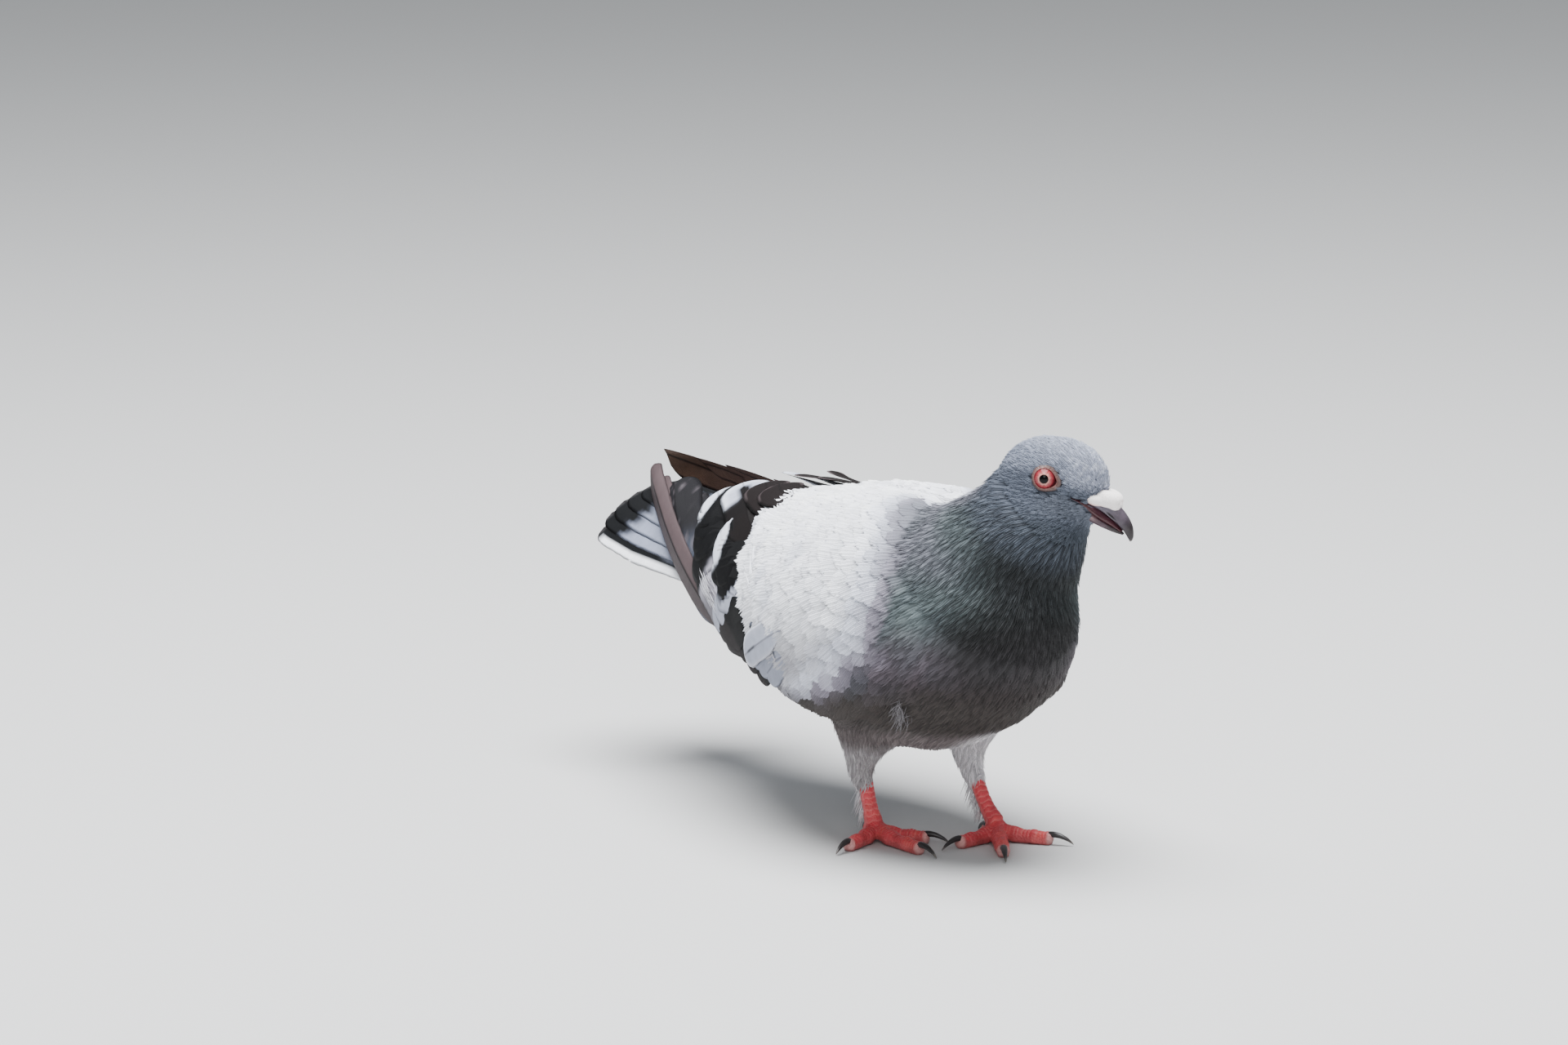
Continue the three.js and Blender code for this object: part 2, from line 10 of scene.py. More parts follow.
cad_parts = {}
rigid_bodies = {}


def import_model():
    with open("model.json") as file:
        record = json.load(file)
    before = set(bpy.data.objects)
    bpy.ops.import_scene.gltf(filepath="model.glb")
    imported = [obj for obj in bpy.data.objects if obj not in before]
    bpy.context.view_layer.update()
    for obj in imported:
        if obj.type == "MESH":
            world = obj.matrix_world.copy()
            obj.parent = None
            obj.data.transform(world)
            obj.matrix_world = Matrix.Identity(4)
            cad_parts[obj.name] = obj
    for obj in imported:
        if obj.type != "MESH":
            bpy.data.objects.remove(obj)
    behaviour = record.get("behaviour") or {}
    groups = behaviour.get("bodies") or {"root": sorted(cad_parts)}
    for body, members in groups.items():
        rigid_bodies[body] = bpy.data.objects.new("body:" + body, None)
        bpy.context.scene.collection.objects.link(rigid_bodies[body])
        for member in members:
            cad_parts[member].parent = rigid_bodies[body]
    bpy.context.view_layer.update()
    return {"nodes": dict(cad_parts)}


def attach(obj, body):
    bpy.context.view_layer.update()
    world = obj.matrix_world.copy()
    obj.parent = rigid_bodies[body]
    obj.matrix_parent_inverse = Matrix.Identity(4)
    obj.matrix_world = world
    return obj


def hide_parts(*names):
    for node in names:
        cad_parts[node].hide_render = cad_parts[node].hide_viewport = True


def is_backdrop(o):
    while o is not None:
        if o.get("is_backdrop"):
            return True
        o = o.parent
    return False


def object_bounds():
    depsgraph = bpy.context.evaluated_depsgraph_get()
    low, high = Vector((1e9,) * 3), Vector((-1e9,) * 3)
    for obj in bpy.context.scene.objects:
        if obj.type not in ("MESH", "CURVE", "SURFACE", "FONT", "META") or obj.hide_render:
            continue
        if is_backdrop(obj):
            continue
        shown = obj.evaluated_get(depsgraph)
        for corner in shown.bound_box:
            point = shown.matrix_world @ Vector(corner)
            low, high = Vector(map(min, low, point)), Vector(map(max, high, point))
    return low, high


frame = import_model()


# ---------------------------------------------------------------- the skin
# Thin hide over the skull, neck, trunk, folded arms and thighs. It is one closed surface with no seam, and
# lies a coat's depth inside the bird's outline. Places are in millimetres in the bird's own frame, whose
# origin is under the middle of the trunk, and go into the shared frame by SHIFT.
SHIFT = np.array([60.876, 0.0, 1.7])
FLESH = [
    "head", "neck", "trunk", "leg_right_thigh", "leg_left_thigh", "wing_right_coverts", "wing_left_coverts",
]
QUILLED = [
    "wing_right_secondaries", "wing_left_secondaries", "wing_right_primaries", "wing_left_primaries", "tail",
]
SKIN_GRAIN = 0.0014
SKIN_DEPTH = 0.0011
CLEFT = 0.003  # how far the clefts between the parts are filled
OVERLAP = 0.0004
NAPE = {"at": (43.0, 0.5, 131.5), "spread": (9.0, 10.0, 8.0), "height": 3.0}


def in_frame(places):
    return (np.asarray(places, float) + SHIFT) / 1000


def in_bird(places):
    return np.asarray(places, float) * 1000 - SHIFT


def mesh_of(name, places, faces, smooth=True):
    mesh = bpy.data.meshes.new(name)
    mesh.from_pydata(np.asarray(places, float).tolist(), [], [list(map(int, f)) for f in faces])
    mesh.polygons.foreach_set("use_smooth", [smooth] * len(mesh.polygons))
    mesh.update()
    return mesh


def on_show(name, mesh):
    piece = bpy.data.objects.new(name, mesh)
    bpy.context.scene.collection.objects.link(piece)
    return piece


def merged_nodes(names, welded=True):
    joined = bmesh.new()
    for name in names:
        joined.from_mesh(frame["nodes"][name].data)
    if welded:
        bmesh.ops.remove_doubles(joined, verts=joined.verts, dist=1e-6)
    mesh = bpy.data.meshes.new("merged")
    joined.to_mesh(mesh)
    joined.free()
    return mesh


def with_modifiers(mesh, *steps):
    piece = on_show("worked", mesh)
    for kind, settings in steps:
        step = piece.modifiers.new(kind, kind)
        for key, value in settings.items():
            setattr(step, key, value)
    out = bpy.data.meshes.new_from_object(piece.evaluated_get(bpy.context.evaluated_depsgraph_get()))
    bpy.data.objects.remove(piece)
    return out


def mesh_places(mesh):
    flat = np.empty(len(mesh.vertices) * 3)
    mesh.vertices.foreach_get("co", flat)
    return flat.reshape(-1, 3)


def mesh_normals(mesh):
    flat = np.empty(len(mesh.vertices) * 3)
    mesh.vertices.foreach_get("normal", flat)
    return flat.reshape(-1, 3)


def outer_shell(mesh):
    """Keeps the largest of a mesh's closed surfaces, so that nothing is left inside the body."""
    worked = bmesh.new()
    worked.from_mesh(mesh)
    islands, seen = [], set()
    for face in worked.faces:
        if face in seen:
            continue
        island, queue = [], [face]
        seen.add(face)
        while queue:
            here = queue.pop()
            island.append(here)
            for edge in here.edges:
                for other in edge.link_faces:
                    if other not in seen:
                        seen.add(other)
                        queue.append(other)
        islands.append(island)
    islands.sort(key=len)
    for island in islands[:-1]:
        bmesh.ops.delete(worked, geom=island, context="FACES")
    worked.to_mesh(mesh)
    worked.free()
    return mesh


def rounded_form(names):
    """The named nodes as one soft surface, with the clefts between them filled and the edges rounded."""
    def swell(by):
        return ("DISPLACE", {"strength": by, "mid_level": 0.0, "direction": "NORMAL"})

    voxels = ("REMESH", {"mode": "VOXEL", "voxel_size": SKIN_GRAIN, "use_smooth_shade": True})
    whole = outer_shell(with_modifiers(merged_nodes(names), swell(OVERLAP), voxels))
    whole = outer_shell(with_modifiers(whole, swell(CLEFT), voxels))
    relax = ("SMOOTH", {"factor": 0.5, "iterations": 12})
    settle = ("SMOOTH", {"factor": 0.5, "iterations": 3})
    return with_modifiers(whole, relax, swell(-CLEFT - OVERLAP), settle)


def filled_nape(mesh):
    """Rounds the hollow between the back of the head and the neck."""
    places, normals = in_bird(mesh_places(mesh)), mesh_normals(mesh)
    near = np.linalg.norm((places - np.array(NAPE["at"])) / np.array(NAPE["spread"]), axis=1)
    places = places + normals * (NAPE["height"] * np.exp(-(near**2)))[:, None]
    mesh.vertices.foreach_set("co", in_frame(places).ravel())
    mesh.update()


form = rounded_form(FLESH + QUILLED + ["leg_right_shank", "leg_left_shank"])
skin_mesh = rounded_form(FLESH)
for shape in (form, skin_mesh):
    filled_nape(shape)

HEAD_CENTRE = np.array([57.2, 14.4, 135.9])
HEAD_TURN = math.radians(39)
HEAD_DROOP = math.radians(19)
FORWARD = np.array([
    math.cos(HEAD_TURN) * math.cos(HEAD_DROOP),
    math.sin(HEAD_TURN) * math.cos(HEAD_DROOP),
    -math.sin(HEAD_DROOP),
])
RIGHT = np.array([math.sin(HEAD_TURN), -math.cos(HEAD_TURN), 0.0])
UP = np.cross(RIGHT, FORWARD)
SPINE = [
    HEAD_CENTRE, [53, 12.5, 128], [47, 9, 117], [38, 5, 105], [24, 1.5, 95],
    [0, 0, 84], [-40, 0, 77], [-85, 0, 79], [-128, 0, 83],
]


def unit(v):
    v = np.asarray(v, float)
    return v / np.maximum(np.linalg.norm(v, axis=-1, keepdims=True), 1e-9)


def ease(value, start, end):
    share = np.clip((np.asarray(value, float) - start) / (end - start), 0, 1)
    return share * share * (3 - 2 * share)


def resampled(points, count):
    points = np.asarray(points, float)
    walk = np.r_[0, np.cumsum(np.linalg.norm(np.diff(points, axis=0), axis=1))]
    steps = np.linspace(0, walk[-1], count)
    return np.stack([np.interp(steps, walk, points[:, k]) for k in range(3)], 1)


spine = resampled(SPINE, 90)
for _ in range(4):
    spine[1:-1] = (spine[:-2] + 2 * spine[1:-1] + spine[2:]) / 4
spine_way = unit(np.gradient(spine, axis=0))
spine_walk = np.r_[0, np.cumsum(np.linalg.norm(np.diff(spine, axis=0), axis=1))]


def along_body(places):
    """How far along the spine each place lies, and which way the spine runs there."""
    walk = np.empty(len(places))
    way = np.empty((len(places), 3))
    for start in range(0, len(places), 20000):
        part = slice(start, start + 20000)
        away = np.linalg.norm(places[part, None] - spine[None], axis=2)
        weight = np.exp(-(away - away.min(1, keepdims=True)) / 4)
        weight /= weight.sum(1, keepdims=True)
        walk[part] = weight @ spine_walk
        way[part] = unit(weight @ spine_way)
    return walk, way


def in_head(places):
    """Each place as its distances forward, right and up from the middle of the head."""
    away = places - HEAD_CENTRE
    return away @ FORWARD, away @ RIGHT, away @ UP


def srgb(red, green, blue):
    value = np.array([red, green, blue]) / 255
    return np.where(value < 0.04045, value / 12.92, ((value + 0.055) / 1.055) ** 2.4)


def blend(under, over, share):
    return under + (over - under) * np.asarray(share, float)[..., None]


def painted(ground, shape, *layers):
    """A ground colour with others laid over it in turn. Each layer is a colour and how strongly it covers."""
    colour = np.tile(srgb(*ground), (*shape, 1))
    for tint, share in layers:
        colour = blend(colour, srgb(*tint), share)
    return colour


def rough_field(places, scale, seed=0.0):
    """An uneven field of soft blotches about scale millimetres across, from about -1 to 1."""
    x, y, z = (places / scale + seed).T
    return (
        np.sin(1.7 * x + 1.3 * y + 0.7) * np.cos(1.1 * y - 1.9 * z)
        + np.sin(2.3 * z - 1.2 * x + 1.9) * np.cos(2.1 * x + 0.6 * y)
        + 0.6 * np.sin(4.1 * x - 3.3 * z + 3.7 * y)
    ) / 2.6


def plumage(places):
    """The grizzled blue-bar markings, with some painted shade and light laid over them: the colour at each
    place of the body, apart from the long feathers.
    """
    x, y, z = places.T
    side = np.abs(y)
    walk, _ = along_body(places)
    fore, _, up = in_head(places)
    rough = rough_field(places, 7)
    fine = rough_field(places, 2.2)
    patchy = 0.72 + 0.28 * rough
    flecked = 0.8 + 0.2 * fine

    front = ease(x, 44, 60) * ease(z, 126, 106)
    gloss = ease(x, 66, 44) * ease(walk, 16, 34) * ease(z, 66, 88) * ease(side, 4, 14)
    plum = ease(z, 92, 74) * ease(x, 10, 30)
    plum = plum + 0.8 * ease(x, 34, 24) * ease(x, 8, 20) * ease(z, 62, 80) * ease(z, 108, 96)
    head = ease(walk, 25, 12)
    mottle = ease(fore, 2, 12) * ease(up, -1, 6) * ease(rough_field(places, 1.5, 3.1), 0.0, 0.5)
    belly = ease(z, 68, 56) * ease(x, 66, 44)

    # The white mantle's front edge, how far each place lies behind it, and where the mantle ends below.
    edge = np.interp(z, [56, 64, 74, 84, 100, 108, 115, 121], [-8, 4, 18, 25, 26, 25, 18, 8])
    edge = edge + ease(side, 13, 4) * ease(z, 108, 114) * ease(x, 50, 42) * 32
    inside = (edge - x) * (1 - 0.45 * ease(z, 92, 72)) + 3.2 * rough
    above = ease(z + 0.16 * x, 52, 62) * (1 - head)
    nape = ease(z, 96, 112) * ease(inside, -34, -16) * ease(inside, 10, -4) * above
    cloud = ease(rough_field(places, 8, 5.0), -0.1, 0.8) * ease(inside, 8, 22) * ease(z, 116, 98)
    # low: the lower wing coverts, painted greyer as painted shade under the folded wing's lower edge.
    low = ease(z, 88, 66) * ease(x, 22, 6)

    colour = painted(
        (62, 69, 76), x.shape,
        ((44, 47, 49), front),
        ((99, 110, 111), gloss * patchy),
        ((88, 78, 86), np.clip(plum, 0, 1) * patchy),
        ((35, 36, 36), ease(x, 44, 58) * ease(z, 100, 84) * 0.8),
        ((44, 38, 38), ease(z, 76, 62) * ease(x, 18, 44)),
        ((92, 99, 113), head * 0.9),
        ((134, 141, 158), head * ease(up - 0.15 * fore, -3, 5) * flecked),
        ((160, 166, 182), head * ease(up, 4, 12) * flecked),
        ((166, 172, 190), head * ease(fore, 3, 11) * ease(up, -2, 3) * (0.75 + 0.25 * fine)),
        ((112, 118, 130), head * ease(fore, -4, 6) * ease(up, 0, -6) * ease(up, -14, -8) * 0.7),
        ((72, 79, 88), head * ease(up, -8, -17)),
        ((204, 209, 222), 0.7 * mottle * head),
        # The belly's own dark colour, carried higher up the flank below the folded wing as painted shade
        # under it.
        ((54, 49, 47), np.maximum(belly, ease(z, 74, 60) * ease(x, 26, 8))),
        ((96, 98, 106), ease(x, -40, -80) * ease(z, 78, 66)),
        ((132, 127, 140), ease(inside, -10, -1) * above),
        ((202, 206, 219), ease(inside, -4, 3) * above),
        ((238, 240, 246), ease(inside, 3, 14) * above),
        ((120, 121, 131), nape * (0.75 + 0.25 * rough)),
        ((194, 198, 210), 0.7 * cloud * above),
        # painted shade on the lower wing coverts
        ((130, 128, 134), 0.8 * low * above * ease(inside, 0, 10)),
        ((196, 200, 210), ease(x, -84, -112) * ease(z, 76, 86)),
    )
    down = ease(z, 48, 40)
    # The thighs: the near (right) one is painted grey-brown as painted shade and the far (left) one near
    # white as painted light.
    thigh = blend(srgb(104, 96, 96)[None], srgb(226, 222, 226)[None], ease(y, -6, 12))
    colour = blend(colour, thigh, down)
    # Both whiten towards the bottom, and the far one more so as painted light.
    pale = ease(z, 40, 28) * (0.45 + 0.3 * fine + 0.25 * ease(y, -6, 6))
    colour = blend(colour, srgb(236, 233, 236), down * pale)
    return np.clip(colour, 0.004, 1)


def unwrapped(places):
    """Each place on a flat layout of the skin: round the body and along it, with the thighs beside."""
    walk, _ = along_body(places)
    axis = np.stack([np.interp(walk, spine_walk, spine[:, k]) for k in range(3)], 1)
    away = places - axis
    round_body = np.arctan2(away[:, 1], -away[:, 2]) / (2 * math.pi) + 0.5
    flat = np.stack([0.02 + 0.96 * round_body, 0.02 + 0.8 * walk / spine_walk[-1]], 1)
    thigh = places[:, 2] < 44
    leg = np.array([[-15.5, -18.0], [-11.0, 20.5]])[(places[:, 1] > 0).astype(int)]
    turn = np.arctan2(places[:, 1] - leg[:, 1], places[:, 0] - leg[:, 0]) / (2 * math.pi) + 0.5
    beside = np.stack([0.02 + 0.46 * turn + 0.5 * (places[:, 1] > 0), 0.84 + 0.14 * places[:, 2] / 44], 1)
    return np.where(thigh[:, None], beside, flat)


skin_places = in_bird(mesh_places(skin_mesh))
skin_normals = mesh_normals(skin_mesh)
node_trees = {}
for name in FLESH:
    loose = frame["nodes"][name].data
    node_trees[name] = BVHTree.FromPolygons(
        [tuple(v) for v in in_bird(mesh_places(loose))], [tuple(p.vertices) for p in loose.polygons]
    )


def nearest_part(places):
    """Which of the flesh nodes each place lies nearest to."""
    reach = np.empty((len(FLESH), len(places)))
    for row, name in enumerate(FLESH):
        find = node_trees[name].find_nearest
        reach[row] = [find(p)[3] for p in places.tolist()]
    return reach.argmin(0)


face_centres = np.empty(len(skin_mesh.polygons) * 3)
skin_mesh.polygons.foreach_get("center", face_centres)
face_centres = in_bird(face_centres.reshape(-1, 3))
skin_part = nearest_part(face_centres)
HEAD, NECK, TRUNK, THIGH_RIGHT, THIGH_LEFT, ARM_RIGHT, ARM_LEFT, REAR = range(8)
skin_part[(skin_part == TRUNK) & (face_centres[:, 0] < 4)] = REAR


def lie_of(places, normals):
    """Which way the feathers point: away from the bill, down the neck, and back along the body and arms."""
    walk, way = along_body(places)
    fore, right, up = in_head(places)
    from_bill = unit(places - (HEAD_CENTRE + 20 * FORWARD - 4 * UP))
    way = unit(blend(way, from_bill, ease(walk, 30, 8)))
    x, y, z = places.T
    arm = ease(np.abs(y), 24, 36) * ease(x, 34, 22) * ease(z, 46, 56)
    fan = unit(places - np.stack([np.full(len(x), 52.0), 24 * np.sign(y), np.full(len(x), 112.0)], 1))
    way = unit(blend(way, fan, arm))
    leg = np.where(y[:, None] < 0, [-0.55, 0.2, -1.0], [-0.25, 0.08, -1.0])
    way = unit(blend(way, leg, ease(z, 52, 40) * ease(x, 24, 12)))
    return unit(way - normals * (way * normals).sum(1, keepdims=True))


skin_lie = lie_of(skin_places, skin_normals)


def write(mesh, name, kind, values, domain="POINT"):
    """Stores one value for each point or face of a mesh, as an attribute of the mesh."""
    key = {"FLOAT_VECTOR": "vector", "FLOAT_COLOR": "color"}.get(kind, "value")
    number = np.int32 if kind == "INT" else np.float32
    layer = mesh.attributes.get(name) or mesh.attributes.new(name, kind, domain)
    layer.data.foreach_set(key, np.ascontiguousarray(values, number).ravel())


def write_plumage(mesh, colour):
    write(mesh, "plumage", "FLOAT_COLOR", np.c_[np.clip(colour, 0, 1), np.ones(len(colour))])


write(skin_mesh, "lie", "FLOAT_VECTOR", skin_lie)
write(skin_mesh, "part", "INT", skin_part, "FACE")
write_plumage(skin_mesh, plumage(skin_places))
write(form, "out", "FLOAT_VECTOR", mesh_normals(form))

# No feather grows on the eyes' bare rings, the cere or the corners of the mouth.
fore, right, up = in_head(skin_places)
round_eye = np.hypot((fore - 1.3) / 1.26, up + 0.2) + 99 * (np.abs(right) < 6)
by_bill = np.linalg.norm(np.stack([fore - 20, right, (up + 5) * 0.9], 1), axis=1)
GAPE = [(9.8, -3.1), (12.5, -3.4), (14.5, -4.3), (17.5, -6.2)]
by_gape = np.full(len(fore), 99.0)
for (f0, u0), (f1, u1) in zip(GAPE, GAPE[1:]):
    f_step, u_step = f1 - f0, u1 - u0
    share = ((fore - f0) * f_step + (up - u0) * u_step) / (f_step**2 + u_step**2)
    share = np.clip(share, 0, 1)
    by_gape = np.minimum(by_gape, np.hypot(fore - f0 - share * f_step, up - u0 - share * u_step))
by_gape = by_gape + 99 * (np.abs(right) < 3)
cover = ease(round_eye, 4.5, 5.4) * ease(by_bill, 4.4, 5.6) * ease(by_gape, 0.5, 1.1)
write(skin_mesh, "cover", "FLOAT", cover)


def noise(nodes, links, scale, detail, place, roughness=0.6):
    node = nodes.new("ShaderNodeTexNoise")
    node.inputs["Scale"].default_value = scale
    node.inputs["Detail"].default_value = detail
    node.inputs["Roughness"].default_value = roughness
    links.new(place, node.inputs["Vector"])
    return node.outputs["Fac"]


def ramp(nodes, links, value, *stops):
    node = nodes.new("ShaderNodeValToRGB")
    while len(node.color_ramp.elements) < len(stops):
        node.color_ramp.elements.new(0.5)
    for element, (at, colour) in zip(node.color_ramp.elements, stops):
        element.position = at
        element.color = (*colour, 1) if len(colour) == 3 else colour
    links.new(value, node.inputs["Fac"])
    return node.outputs["Color"]


def new_material(name, roughness, **constants):
    material = bpy.data.materials.new(name)
    material.use_nodes = True
    nodes, links = material.node_tree.nodes, material.node_tree.links
    shader = nodes["Principled BSDF"]
    shader.inputs["Roughness"].default_value = roughness
    for key, value in constants.items():
        shader.inputs[key.replace("_", " ")].default_value = value
    return material, nodes, links, shader


def mixed(nodes, links, mode, share, under, over):
    node = nodes.new("ShaderNodeMix")
    node.data_type = "RGBA"
    node.blend_type = mode
    for socket, value in ((node.inputs[0], share), (node.inputs[6], under), (node.inputs[7], over)):
        if isinstance(value, (int, float)):
            socket.default_value = value
        elif isinstance(value, tuple):
            socket.default_value = (*value, 1)
        else:
            links.new(value, socket)
    return node.outputs[2]


def maths(nodes, links, what, *values):
    node = nodes.new("ShaderNodeMath")
    node.operation = what
    for socket, value in zip(node.inputs, values):
        if isinstance(value, (int, float)):
            socket.default_value = value
        else:
            links.new(value, socket)
    return node.outputs[0]


def attribute(nodes, name, output="Fac"):
    node = nodes.new("ShaderNodeAttribute")
    node.attribute_name = name
    return node.outputs[output]


def bumped(nodes, links, shader, height, distance, strength=1.0):
    bump = nodes.new("ShaderNodeBump")
    bump.inputs["Distance"].default_value = distance
    bump.inputs["Strength"].default_value = strength
    links.new(height, bump.inputs["Height"])
    links.new(bump.outputs["Normal"], shader.inputs["Normal"])


def place_of(nodes):
    return nodes.new("ShaderNodeTexCoord").outputs["Object"]


def speckled(name, roughness, specular, scale, detail, *stops, evenness=0.6, bump=None):
    """A finish that breaks the painted colour up with a fine grain, raised by bump metres if it is given."""
    material, nodes, links, shader = new_material(name, roughness, Specular_IOR_Level=specular)
    grain = noise(nodes, links, scale, detail, place_of(nodes), evenness)
    tint = ramp(nodes, links, grain, *stops)
    own = attribute(nodes, "plumage", "Color")
    links.new(mixed(nodes, links, "MULTIPLY", 1.0, own, tint), shader.inputs["Base Color"])
    if bump:
        bumped(nodes, links, shader, grain, bump)
    return material, nodes, links, shader


def finished(name, mesh, slot, *replaced):
    """Puts a finished mesh on show as a piece of the bird, which is one still body."""
    piece = on_show(name, mesh)
    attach(piece, "root")
    if replaced:
        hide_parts(*replaced)


hide, *_ = speckled(
    "feathered hide", 0.85, 0.1, 900, 3, (0.3, (0.55, 0.55, 0.56)), (0.7, (0.95, 0.95, 0.95)), bump=0.0003,
)
skin_places_in = skin_places - skin_normals * SKIN_DEPTH * 1000
deep_skin = skin_mesh.copy()
deep_skin.name = "skin"
deep_skin.vertices.foreach_set("co", in_frame(skin_places_in).ravel())
deep_skin.update()
deep_skin.materials.clear()
deep_skin.materials.append(hide)
finished("skin", deep_skin, "body_feathers", *FLESH)


# ---------------------------------------------------------------- the small feathers
# Contour feathers that clothe the skin. Each is a thin horny vane whose barbs part into pointed locks at the
# tip. They are set root by root in the skin, overlap like shingles, and are moulded to the body under them.
LOCK_OVERLAP = 1.25
RIDGE = 0.00013  # how far a lock's middle stands above its edges
TUFT_PATCH = 0.003  # each feather's share of the skin's flat layout


def lock_vane(name, locks, split, roundness, rows, frays, seed):
    """One feather of unit length and width, made of closed three-sided locks lying side by side."""
    chance = np.random.default_rng(seed)
    edges = np.linspace(-0.5, 0.5, locks + 1)
    steps = [*np.linspace(0, max(split, (rows - 1) / rows), rows), 1]
    places, faces, level, shade = [], [], [], []
    for lock in range(locks):
        middle = (edges[lock] + edges[lock + 1]) / 2
        half = (edges[lock + 1] - edges[lock]) / 2 * LOCK_OVERLAP
        reach = (1 - roundness * abs(2 * middle) ** 2.2) * (1 - frays * chance.random())
        drift = frays * 0.5 * (chance.random() - 0.5)
        raised = 0.00006 * (lock % 2) + 0.00010 * chance.random()
        tone = chance.random()
        start = len(places)
        for row, share in enumerate(steps):
            at = reach * share
            narrow = 0.45 + 0.55 * min(1, share * 2.2)
            parting = max(0.0, (share - split) / (1 - split))
            centre = middle * narrow + drift * parting
            if row == rows:
                places.append((at, centre, 0))
                level.append(raised)
                break
            wide = half * narrow * (1 - parting**1.6)
            root = 0.02 if row == 0 else 0
            places += [(at, centre - wide, 0), (at - root, centre, 0), (at, centre + wide, 0)]
            level += [raised, raised + RIDGE, raised]
        shade += [tone] * (len(places) - start)
        for a in range(start, start + 3 * (rows - 1), 3):
            b = a + 3
            faces += [(a, b, b + 1, a + 1), (a + 1, b + 1, b + 2, a + 2), (a, a + 2, b + 2, b)]
        tip = start + 3 * rows
        last = tip - 3
        faces += [(last, tip, last + 1), (last + 1, tip, last + 2), (last, last + 2, tip)]
        faces.append((start, start + 1, start + 2))
    mesh = mesh_of(name, places, [face[::-1] for face in faces], smooth=False)
    write(mesh, "across", "FLOAT", [place[1] for place in places])
    write(mesh, "along", "FLOAT", [place[0] for place in places])
    write(mesh, "level", "FLOAT", level)
    write(mesh, "shade", "FLOAT", shade)
    return bpy.data.objects.new(name, mesh)


def vane_set(name, count, **shape):
    group = bpy.data.collections.new(name)
    bpy.context.scene.collection.children.link(group)
    for number in range(count):
        group.objects.link(lock_vane(f"{name} {number}", seed=number + 11, **shape))
    return group


def put_away(*groups):
    for group in groups:
        for pattern in list(group.objects):
            bpy.data.objects.remove(pattern)
        bpy.data.collections.remove(group)


